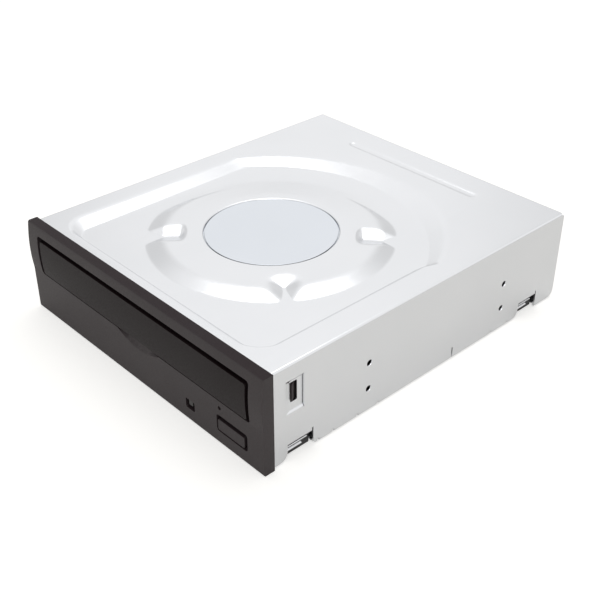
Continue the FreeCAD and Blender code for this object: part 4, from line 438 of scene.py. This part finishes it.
def add_hill(bm):
    """The plateau from the edge of its hole down to the sunk panel. Returns the outer ring."""
    last = PLATEAU_FOOT_R + PLATEAU_FOOT_SOFT
    count = round((last - PLATEAU_NOTCH_INNER_R) / HILL_STEP)
    radii = [last - (last - PLATEAU_NOTCH_INNER_R) * step / count for step in range(count + 1)]
    radii += [HUB_HOLE_R + 2 * HOLE_ROUND, HUB_HOLE_R + HOLE_ROUND]
    rows = []
    for radius in radii:
        row = []
        for x, y in circle_points((0, 0), radius, HILL_TURNS):
            height = DISH_Z if radius == last else hill_height(x, y)
            row.append((HUB_X + x, HUB_Y + y, height))
        rows.append(add_ring(bm, row))
    for turn in HOLE_TURNS:
        sunk = HOLE_ROUND * (1 - math.cos(math.radians(turn)))
        radius = HUB_HOLE_R + HOLE_ROUND * (1 - math.sin(math.radians(turn)))
        ring = circle_points((HUB_X, HUB_Y), radius, HILL_TURNS)
        rows.append(add_ring(bm, [(x, y, PLATEAU_Z - sunk) for x, y in ring]))
    for first, second in zip(rows, rows[1:]):
        bridge(bm, first, second)
    return rows[0]


def bead_points(radius):
    y = behind(BEAD_Y)
    right = arc_points((BEAD_HALF, y), radius, -90, 90, BEAD_END_STEPS)
    left = arc_points((-BEAD_HALF, y), radius, 90, 270, BEAD_END_STEPS)
    return right + left


def add_bead(bm):
    """The groove across the rear of the top. Returns its outer ring."""
    rows = []
    reach = BEAD_R - BEAD_FOOT + 2 * BEAD_SOFT
    places = [BEAD_FOOT - BEAD_SOFT + reach * step / BEAD_ROWS for step in range(BEAD_ROWS + 1)]
    for radius in reversed(places):
        down = BEAD_DEPTH * (1 - soft_step(radius, BEAD_FOOT, BEAD_R, BEAD_SOFT, BEAD_SOFT))
        rows.append(add_ring(bm, [(x, y, TOP - down) for x, y in bead_points(radius)]))
    for first, second in zip(rows, rows[1:]):
        bridge(bm, first, second)
    fill(bm, [rows[-1]], (0, 0, 1))
    return rows[0]


def bend_rows(bm, start, end, out, down):
    """Rows of a bend that starts level at an edge and ends upright; out points away from the case."""
    rows = [(start, end)]
    for step in range(1, BEND_STEPS + 1):
        angle = math.pi / 2 * step / BEND_STEPS
        shift = out * (BEND * math.sin(angle)) + down * (BEND * (1 - math.cos(angle)))
        rows.append(tuple(bm.verts.new(vert.co + shift) for vert in (start, end)))
    for first, second in zip(rows, rows[1:]):
        bridge(bm, first, second, closed=False)
    return rows[-1]


def flared_hole(bm, place, centre, inward):
    """A hole whose edge is turned in. Returns the ring where it meets the flat sheet."""
    profile = (
        (MOUNT_R + MOUNT_FLARE, 0),
        (MOUNT_R + MOUNT_FLARE / 3, MOUNT_FLARE / 4),
        (MOUNT_R, MOUNT_FLARE),
    )
    rows = []
    for radius, depth in profile:
        ring = [place(u, v) + inward * depth for u, v in circle_points(centre, radius)]
        rows.append(add_ring(bm, ring))
    for first, second in zip(rows, rows[1:]):
        bridge(bm, first, second)
    return rows[0]


def snap_points(inset):
    """The outline of the snap recess as y and z, from its rear upper to its rear lower corner."""
    y0 = behind(SNAP_START) + SNAP_FRONT_RUN * inset
    y1 = behind(SNAP_END)
    if inset:
        y1 -= SNAP_CUT
    z0, z1 = SNAP_Z[0] + inset, SNAP_Z[1] - inset
    high = arc_points((y0 + SNAP_ROUND, z1 - SNAP_ROUND), SNAP_ROUND, 90, 180, SNAP_ROUND_STEPS)
    low = arc_points((y0 + SNAP_ROUND, z0 + SNAP_ROUND), SNAP_ROUND, 180, 270, SNAP_ROUND_STEPS)
    return [(y1, z1)] + high + low + [(y1, z0)]


def tab_spans():
    """Start, end and hole, if any, of each tab at the foot of a wall, measured from the front."""
    spans = [(FRONT_TAB_Y - FRONT_TAB_HALF, FRONT_TAB_Y + FRONT_TAB_HALF, None)]
    spans += [(y - TAB_HALF, y + TAB_HALF, y) for y in MOUNT_YS]
    return spans


def wall_foot_points():
    """The lower edge of a side wall from front to back, as y and z, with its notches, slits and nicks."""
    low = FOOT
    start, end = NOTCH_FRONT
    points = [(FRONT, low)]
    points += arc_points((behind(start - EDGE_ROUND), low + EDGE_ROUND), EDGE_ROUND, -90, 0, EDGE_STEPS)
    points += [(behind(start), NOTCH_TOP), (behind(end), NOTCH_TOP)]
    points += [(behind(end), NOTCH_TOP + SLIT_RISE), (behind(end + SLIT), NOTCH_TOP + SLIT_RISE)]
    foot = EDGE_ROUND / 2
    points += arc_points((behind(end + SLIT + foot), low + foot), foot, 180, 270, EDGE_STEPS)
    for tab_start, tab_end, hole in tab_spans():
        if hole == MOUNT_YS[1]:
            points += [(behind(MID_SLIT_Y), low), (behind(MID_SLIT_Y), MID_SLIT_TOP)]
            points += [(behind(MID_SLIT_Y + SLIT), MID_SLIT_TOP), (behind(MID_SLIT_Y + SLIT), low)]
        points += [(behind(tab_start - NICK), low), (behind(tab_start - NICK), NICK_TOP)]
        points += [(behind(tab_start), NICK_TOP), (behind(tab_start), low)]
        points += [(behind(tab_end), low), (behind(tab_end), NICK_TOP)]
        points += [(behind(tab_end + NICK), NICK_TOP), (behind(tab_end + NICK), low)]
    start, end = NOTCH_REAR
    points += arc_points((behind(start - EDGE_ROUND), low + EDGE_ROUND), EDGE_ROUND, -90, 0, EDGE_STEPS)
    points += [(behind(start), NOTCH_TOP), (behind(end), NOTCH_TOP)]
    points += [(behind(end), NOTCH_TOP + SLIT_RISE), (behind(end + SLIT), NOTCH_TOP + SLIT_RISE)]
    points += [(behind(end + SLIT), low)]
    points += arc_points((BACK - EDGE_ROUND, low + EDGE_ROUND), EDGE_ROUND, -90, 0, EDGE_STEPS)
    return points


def add_tab(bm, side, feet, start, end, hole):
    """A tab turned in from the wall's foot, between two vertices of that foot."""
    inner = side * (HALF - TAB_REACH)
    far = add_ring(bm, [(inner, behind(end), FOOT), (inner, behind(start), FOOT)])
    rings = [[feet[start], feet[end]] + far]
    if hole is not None:
        centre = (side * (HALF - MOUNT_BOTTOM_INSET), behind(hole))
        rings.append(flared_hole(bm, lambda u, v: Vector((u, v, FOOT)), centre, Vector((0, 0, 1))))
    fill(bm, rings, (0, 0, -1))


def add_side_wall(bm, side, top_front, top_back):
    """One side wall below the bend, with its recess, holes, notches and tabs."""
    inward = Vector((-side, 0, 0))

    def place(y, z):
        return Vector((side * HALF, y, z))

    foot_places = wall_foot_points()
    foot = add_ring(bm, [place(y, z) for y, z in foot_places])
    snap_rows = []
    for step in range(SNAP_STEPS + 1):
        share = step / SNAP_STEPS
        inset = SNAP_SLOPE * share
        depth = SNAP_DEPTH * (1 - math.cos(math.pi * share)) / 2
        snap_rows.append(add_ring(bm, [place(y, z) + inward * depth for y, z in snap_points(inset)]))
    for first, second in zip(snap_rows, snap_rows[1:]):
        bridge(bm, first, second, closed=False)
    rear_top = bm.verts.new(place(BACK, TOP - BEND))
    rings = [foot + [rear_top, top_back, top_front], snap_rows[0]]
    for y in MOUNT_YS:
        for z in MOUNT_ZS:
            rings.append(flared_hole(bm, place, (behind(y), z), inward))
    fill(bm, rings, (side, 0, 0))
    window = rounded_rectangle(behind(WINDOW_Y[0]), behind(WINDOW_Y[1]), *WINDOW_Z, VENT_ROUND)
    window = add_ring(bm, [place(y, z) + inward * SNAP_DEPTH for y, z in window])
    fill(bm, [snap_rows[-1], window], (side, 0, 0))
    for start, end, hole in tab_spans():
        feet = {}
        for vert, (y, z) in zip(foot, foot_places):
            for spot in (start, end):
                if z == FOOT and abs(y - behind(spot)) < TAB_MATCH:
                    feet[spot] = vert
        add_tab(bm, side, feet, start, end, hole)


def add_rear_wall(bm, top_right, top_left):
    low = [bm.verts.new((vert.co.x, BACK, REAR_EDGE)) for vert in (top_left, top_right)]
    rings = [[top_right, top_left] + low]
    for index in range(VENT_COUNT):
        x = VENT_X + index * VENT_PITCH
        vent = rounded_rectangle(x, x + VENT_W, *VENT_Z, VENT_ROUND)
        rings.append(add_ring(bm, [(u, BACK, v) for u, v in vent]))
    fill(bm, rings, (0, 1, 0))


def cover_shell():
    """The pressed top cover as one sheet of even thickness, with rounded pressings and bends."""
    bm = bmesh.new()
    flat = HALF - BEND
    right_front = bm.verts.new((flat, FRONT, TOP))
    right_back = bm.verts.new((flat, BACK - BEND, TOP))
    left_back = bm.verts.new((-flat, BACK - BEND, TOP))
    left_front = bm.verts.new((-flat, FRONT, TOP))
    dish_outer, dish_inner = add_dish(bm)
    fill(bm, [[right_front, right_back, left_back, left_front], dish_outer, add_bead(bm)], (0, 0, 1))
    fill(bm, [dish_inner, add_hill(bm)], (0, 0, 1))
    down = Vector((0, 0, -1))
    right = bend_rows(bm, right_front, right_back, Vector((1, 0, 0)), down)
    left = bend_rows(bm, left_front, left_back, Vector((-1, 0, 0)), down)
    rear = bend_rows(bm, right_back, left_back, Vector((0, 1, 0)), down)
    add_side_wall(bm, 1, *right)
    add_side_wall(bm, -1, *left)
    add_rear_wall(bm, *rear)
    bmesh.ops.recalc_face_normals(bm, faces=bm.faces)
    highest = max(bm.faces, key=lambda face: face.calc_center_median().z)
    if highest.normal.z < 0:
        bmesh.ops.reverse_faces(bm, faces=bm.faces)
    piece = new_piece("cover_shell", bm, "chassis")
    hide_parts("top_cover")
    sheet = piece.modifiers.new("sheet", "SOLIDIFY")
    sheet.thickness = SHEET
    sheet.offset = -1
    sheet.use_even_offset = True
    bake_modifiers(piece)
    smooth(piece)
    return piece


# What shows in the side notches


def add_bar(bm, side, section, start, end):
    """A bar along the flange; its section is given as reach from the flange and height."""
    face = HALF - FLANGE_BEHIND
    rings = []
    for y in (behind(start), behind(end)):
        rings.append(add_ring(bm, [(side * (face + reach), y, z) for reach, z in section]))
        bm.faces.new(rings[-1])
    bridge(bm, *rings)


def lip_section(nose, reach):
    """A lip that slopes down from the flange to a round nose."""
    edge = arc_points((reach - LIP_HALF, nose), LIP_HALF, *LIP_TURN, LIP_STEPS)
    return [(0, nose - LIP_HALF)] + edge + [(0, nose + LIP_RISE)]


def notch_bars(name, make_bars):
    """One piece with the same bars in all four notches."""
    bm = bmesh.new()
    for side in (1, -1):
        for start, end in (NOTCH_FRONT, NOTCH_REAR):
            make_bars(bm, side, start + NOTCH_MARGIN, end)
    bmesh.ops.recalc_face_normals(bm, faces=bm.faces)
    piece = new_piece(name, bm, "chassis")
    smooth(piece)
    return piece


def add_lips(bm, side, start, end):
    for lip in LIPS:
        section = lip_section(lip["nose"], lip["reach"])
        add_bar(bm, side, section, start, start + lip["share"] * (end - start))


# Painted shade: a dark block of frame plastic under the lips, standing in for the shadow in the notch
def add_shade_block(bm, side, start, end):
    section = rounded_rectangle(0, SHADE_BLOCK_REACH, *SHADE_BLOCK_Z, SHADE_BLOCK_ROUND)
    add_bar(bm, side, section, start, end)


# Material helpers


def new_material(name, **sockets):
    """A material whose principled shader has these constant values; Base_Color stands for Base Color."""
    material = bpy.data.materials.new(name)
    material.use_nodes = True
    shader = material.node_tree.nodes["Principled BSDF"]
    for socket, value in sockets.items():
        shader.inputs[socket.replace("_", " ")].default_value = value
    return material


def add_node(material, kind, inputs=None, **settings):
    """Adds a node; each input is a constant or another node's output."""
    tree = material.node_tree
    node = tree.nodes.new(kind)
    for setting, value in settings.items():
        setattr(node, setting, value)
    for socket, value in (inputs or {}).items():
        if isinstance(value, bpy.types.NodeSocket):
            tree.links.new(value, node.inputs[socket])
        else:
            node.inputs[socket].default_value = value
    return node


def connect(material, socket, output):
    shader = material.node_tree.nodes["Principled BSDF"]
    material.node_tree.links.new(output, shader.inputs[socket])


def coordinates(material, stretch=(1, 1, 1)):
    """The piece's own metres, stretched."""
    place = add_node(material, "ShaderNodeTexCoord").outputs["Object"]
    mapping = add_node(material, "ShaderNodeMapping", {"Vector": place, "Scale": stretch})
    return mapping.outputs["Vector"]


def noise(material, scale, detail, stretch=(1, 1, 1)):
    place = coordinates(material, stretch)
    node = add_node(
        material, "ShaderNodeTexNoise",
        {"Vector": place, "Scale": scale, "Detail": detail, "Roughness": NOISE_ROUGHNESS},
    )
    return node.outputs["Fac"]


def tones(material, factor, dark, light, span=NOISE_SPAN):
    """A colour between two tones as the factor goes through a span."""
    node = add_node(material, "ShaderNodeValToRGB", {"Fac": factor})
    first, last = node.color_ramp.elements
    first.position, last.position = span
    first.color = (*dark, 1)
    last.color = (*light, 1)
    return node.outputs["Color"]


def ramp(material, value, span, low, high):
    """A number that goes from low to high as the value goes through a span."""
    node = add_node(
        material, "ShaderNodeMapRange",
        {"Value": value, "From Min": span[0], "From Max": span[1], "To Min": low, "To Max": high},
    )
    return node.outputs["Result"]


def maths(material, operation, *values):
    """The result of an operation on constants or other nodes' outputs."""
    node = add_node(material, "ShaderNodeMath", dict(enumerate(values)), operation=operation)
    return node.outputs["Value"]


def choose(material, share, first, second):
    """The first number where the share is 0, the second where it is 1."""
    node = add_node(material, "ShaderNodeMix", {0: share, 2: first, 3: second}, data_type="FLOAT")
    return node.outputs[0]


def relief(material, height, depth):
    node = add_node(material, "ShaderNodeBump", {"Height": height, "Distance": depth, "Strength": 1.0})
    connect(material, "Normal", node.outputs["Normal"])


def surface(name, dark, light, rough, grain, depth, mottle=45, stretch=(1, 1, 1), **sockets):
    """A surface whose colour drifts between two tones, with a fine grain in its gloss and relief."""
    material = new_material(name, **sockets)
    connect(material, "Base Color", tones(material, noise(material, mottle, detail=3.0), dark, light))
    fine = noise(material, grain, detail=2.0, stretch=stretch)
    connect(material, "Roughness", ramp(material, fine, NOISE_SPAN, *rough))
    relief(material, fine, depth)
    return material


# Materials


def coated_steel(name, dark, light, rough):
    """Bright coated sheet with faint rolling lines along the case."""
    return surface(
        name, dark, light, rough,
        grain=900, depth=0.001 * MM, mottle=28, stretch=(1, 0.05, 1), Metallic=1.0,
    )


def front_plastic(name, dark, light, shine):
    """Fine satin plastic, with painted shade: faces that look up in the world get less gloss, so tops
    render darker.
    """
    material = surface(name, dark, light, rough=(0.42, 0.55), grain=1800, depth=0.01 * MM)
    normal = add_node(material, "ShaderNodeNewGeometry").outputs["Normal"]
    upward = add_node(material, "ShaderNodeSeparateXYZ", {0: normal}).outputs["Z"]
    # Painted shade: gloss drops where the normal points up in the world
    connect(material, "Specular IOR Level", ramp(material, upward, TOP_SHADE_SPAN, shine, TOP_SHADE_GLOSS * shine))
    return material


def circuit_board():
    """Green lacquer over a net of copper tracks."""
    material = new_material("circuit_board", Roughness=0.35)
    tracks = add_node(
        material, "ShaderNodeTexBrick",
        {
            "Vector": coordinates(material), "Scale": 180.0, "Mortar Size": 0.05, "Mortar Smooth": 0.1,
            "Color1": (0.008, 0.06, 0.022, 1), "Color2": (0.012, 0.075, 0.03, 1),
            "Mortar": (0.03, 0.14, 0.06, 1), "Brick Width": 0.9, "Row Height": 0.22,
        },
    )
    connect(material, "Base Color", tracks.outputs["Color"])
    relief(material, tracks.outputs["Fac"], depth=0.03 * MM)
    return material


def ribbon_film():
    """Pale film with flat conductors running along it."""
    material = new_material("ribbon_film", Roughness=0.4)
    bands = add_node(
        material, "ShaderNodeTexWave",
        {"Vector": coordinates(material), "Scale": 320.0, "Distortion": 0.0},
        wave_type="BANDS", bands_direction="X",
    )
    stripes = bands.outputs["Fac"]
    colour = tones(material, stripes, dark=(0.55, 0.36, 0.14), light=(0.78, 0.76, 0.70), span=(0.35, 0.5))
    connect(material, "Base Color", colour)
    relief(material, stripes, depth=0.02 * MM)
    return material


PLAIN_SURFACES = {
    "light_window": dict(
        dark=(0.02, 0.018, 0.018), light=(0.03, 0.027, 0.026),
        rough=(0.12, 0.2), grain=900, depth=0.003 * MM,
    ),
    "frame_plastic": dict(
        dark=(0.018, 0.018, 0.019), light=(0.028, 0.028, 0.029),
        rough=(0.45, 0.6), grain=1500, depth=0.012 * MM,
    ),
    "tray_plastic": dict(
        dark=(0.022, 0.021, 0.021), light=(0.032, 0.030, 0.030),
        rough=(0.42, 0.58), grain=1500, depth=0.012 * MM,
    ),
    "gear_plastic": dict(
        dark=(0.66, 0.65, 0.60), light=(0.76, 0.75, 0.71),
        rough=(0.3, 0.42), grain=700, depth=0.006 * MM,
    ),
    "rubber": dict(
        dark=(0.012, 0.012, 0.012), light=(0.022, 0.022, 0.022),
        rough=(0.7, 0.9), grain=1200, depth=0.02 * MM,
    ),
    "steel": dict(
        dark=(0.52, 0.53, 0.54), light=(0.62, 0.63, 0.64),
        rough=(0.22, 0.36), grain=1100, depth=0.004 * MM, Metallic=1.0,
    ),
    "magnet": dict(
        dark=(0.09, 0.09, 0.095), light=(0.14, 0.14, 0.145),
        rough=(0.4, 0.55), grain=1300, depth=0.008 * MM, Metallic=0.6,
    ),
    "dark_plastic": dict(
        dark=(0.014, 0.014, 0.015), light=(0.024, 0.024, 0.025),
        rough=(0.35, 0.5), grain=1600, depth=0.008 * MM,
    ),
    "pickup_metal": dict(
        dark=(0.36, 0.37, 0.38), light=(0.45, 0.46, 0.47),
        rough=(0.42, 0.58), grain=900, depth=0.02 * MM, Metallic=1.0,
    ),
    "lens_glass": dict(
        dark=(0.36, 0.44, 0.62), light=(0.42, 0.50, 0.68),
        rough=(0.03, 0.06), grain=300, depth=0.0005 * MM, Transmission_Weight=0.8, IOR=1.5,
    ),
    "gold_contact": dict(
        dark=(0.80, 0.56, 0.20), light=(0.86, 0.64, 0.27),
        rough=(0.2, 0.32), grain=900, depth=0.003 * MM, Metallic=1.0,
    ),
    "capacitor_can": dict(
        dark=(0.62, 0.63, 0.65), light=(0.72, 0.73, 0.75),
        rough=(0.25, 0.35), grain=800, depth=0.004 * MM, Metallic=1.0,
    ),
    "led_resin": dict(
        dark=(0.10, 0.30, 0.10), light=(0.14, 0.38, 0.14),
        rough=(0.1, 0.2), grain=500, depth=0.003 * MM, Transmission_Weight=0.4,
    ),
}


def make_materials():
    """One material for each of the record's slots, and one for the door."""
    materials = {name: surface(name, **values) for name, values in PLAIN_SURFACES.items()}
    materials["cover_steel"] = coated_steel(
        "cover_steel", dark=(0.805, 0.815, 0.835), light=(0.825, 0.833, 0.853), rough=(0.20, 0.26),
    )
    materials["plate_steel"] = coated_steel(
        "plate_steel", dark=(0.735, 0.765, 0.81), light=(0.755, 0.785, 0.83), rough=(0.18, 0.24),
    )
    materials["bezel_plastic"] = front_plastic(
        "bezel_plastic", dark=(0.024, 0.016, 0.018), light=(0.030, 0.022, 0.024), shine=0.5,
    )
    materials["door_plastic"] = front_plastic(
        "door_plastic", dark=(0.0088, 0.0048, 0.0054), light=(0.0118, 0.0076, 0.0082), shine=0.22,
    )
    materials["circuit_board"] = circuit_board()
    materials["ribbon_film"] = ribbon_film()
    return materials


# CAD nodes that stay


def soften(node, width):
    """Rounds a node's sharp edges a little, so that they catch the light."""
    weld = node.modifiers.new("weld", "WELD")
    weld.merge_threshold = WELD_REACH
    merge = node.modifiers.new("merge", "DECIMATE")
    merge.decimate_type = "DISSOLVE"
    merge.angle_limit = math.radians(FLAT_DEGREES)
    edge = node.modifiers.new("edge", "BEVEL")
    edge.width = width
    edge.segments = EDGE_SEGMENTS
    edge.limit_method = "ANGLE"
    edge.angle_limit = math.radians(EDGE_DEGREES)
    normals = node.modifiers.new("normals", "WEIGHTED_NORMAL")
    normals.weight = NORMAL_WEIGHT


def dress_nodes(materials):
    """Gives each node its material, and softens the edges of those that are not replaced."""
    for name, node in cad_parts.items():
        slot = node.material_slots[0]
        slot.material = materials[OWN_MATERIALS.get(name) or slot.material.name.split(".")[0]]
        if name != "top_cover":
            soften(node, EDGE_WIDTHS.get(name, EDGE_DEFAULT))


# Studio


def sees_camera(material):
    """1 for what the camera sees directly."""
    return add_node(material, "ShaderNodeLightPath").outputs["Is Camera Ray"]


def sees_gleam(material):
    """1 for what is seen in metal or through glass."""
    path = add_node(material, "ShaderNodeLightPath")
    return maths(material, "MAXIMUM", path.outputs["Is Glossy Ray"], path.outputs["Is Transmission Ray"])


def add_floor():
    """A plain white floor that shows as white and keeps the object's shadow."""
    bm = bmesh.new()
    bmesh.ops.create_grid(bm, x_segments=2, y_segments=2, size=FLOOR_HALF)
    mesh = bpy.data.meshes.new("floor")
    bm.to_mesh(mesh)
    bm.free()
    floor = bpy.data.objects.new("floor", mesh)
    floor.location.z = CAD_BOX[0].z
    bpy.context.scene.collection.objects.link(floor)
    material = new_material(
        "floor", Base_Color=FLOOR_COLOUR, Roughness=0.9, Specular_IOR_Level=0.0, Emission_Color=WHITE,
    )
    gleam = maths(material, "MULTIPLY", sees_gleam(material), FLOOR_GLEAM)
    glow = maths(material, "MULTIPLY_ADD", sees_camera(material), FLOOR_GLOW, gleam)
    connect(material, "Emission Strength", glow)
    mesh.materials.append(material)


def add_world():
    """White all round for the camera; metal sees it darker beside the view and near the horizon."""
    world = bpy.data.worlds.new("studio")
    world.use_nodes = True
    bpy.context.scene.world = world
    background = world.node_tree.nodes["Background"]
    background.inputs["Color"].default_value = WHITE
    toward = add_node(world, "ShaderNodeTexCoord").outputs["Generated"]
    across = add_node(world, "ShaderNodeVectorMath", {0: toward, 1: ACROSS_VIEW}, operation="DOT_PRODUCT")
    aside = maths(world, "ABSOLUTE", across.outputs["Value"])
    height = add_node(world, "ShaderNodeSeparateXYZ", {0: toward}).outputs["Z"]
    begun = ramp(world, aside, BESIDE_START, 0.0, BESIDE_DARK)
    beside = maths(world, "MULTIPLY", begun, ramp(world, aside, BESIDE_END, 1.0, 0.0))
    beside = maths(world, "MULTIPLY", beside, ramp(world, height, BESIDE_TOP, 1.0, 0.0))
    horizon = ramp(world, height, HORIZON_TOP, HORIZON_DARK, 0.0)
    metal = maths(world, "SUBTRACT", 1.0, maths(world, "MAXIMUM", beside, horizon))
    lighting = choose(world, sees_gleam(world), WORLD_DIFFUSE, metal)
    strength = choose(world, sees_camera(world), lighting, 1.0)
    world.node_tree.links.new(strength, background.inputs["Strength"])


def add_lamp(name, direction, distance, size, power):
    """A round soft light that faces the middle of the object."""
    lamp = bpy.data.lights.new(name, "AREA")
    lamp.shape = "DISK"
    lamp.size = size
    lamp.energy = power
    stand = bpy.data.objects.new(name, lamp)
    away = Vector(direction).normalized()
    stand.location = away * distance
    stand.rotation_mode = "QUATERNION"
    stand.rotation_quaternion = (-away).to_track_quat("-Z", "Y")
    bpy.context.scene.collection.objects.link(stand)


def add_camera():
    data = bpy.data.cameras.new("camera")
    data.lens = CAMERA_LENS
    data.sensor_width = SENSOR
    data.clip_start = CLIP_START
    camera = bpy.data.objects.new("camera", data)
    camera.location = CAMERA_AT
    camera.rotation_mode = "QUATERNION"
    camera.rotation_quaternion = Vector(CAMERA_LOOK).to_track_quat("-Z", "Y")
    bpy.context.scene.collection.objects.link(camera)
    bpy.context.scene.camera = camera


# Putting it together
MATERIALS = make_materials()
dress_nodes(MATERIALS)
cover_shell().data.materials.append(MATERIALS["cover_steel"])
notch_bars("bottom_lips", add_lips).data.materials.append(MATERIALS["cover_steel"])
# Dark blocks in the notches, painted shade
notch_bars("notch_shade_blocks", add_shade_block).data.materials.append(MATERIALS["frame_plastic"])
add_floor()
add_world()
for values in LAMPS:
    add_lamp(**values)
add_camera()
bpy.context.scene.view_settings.view_transform = "Standard"
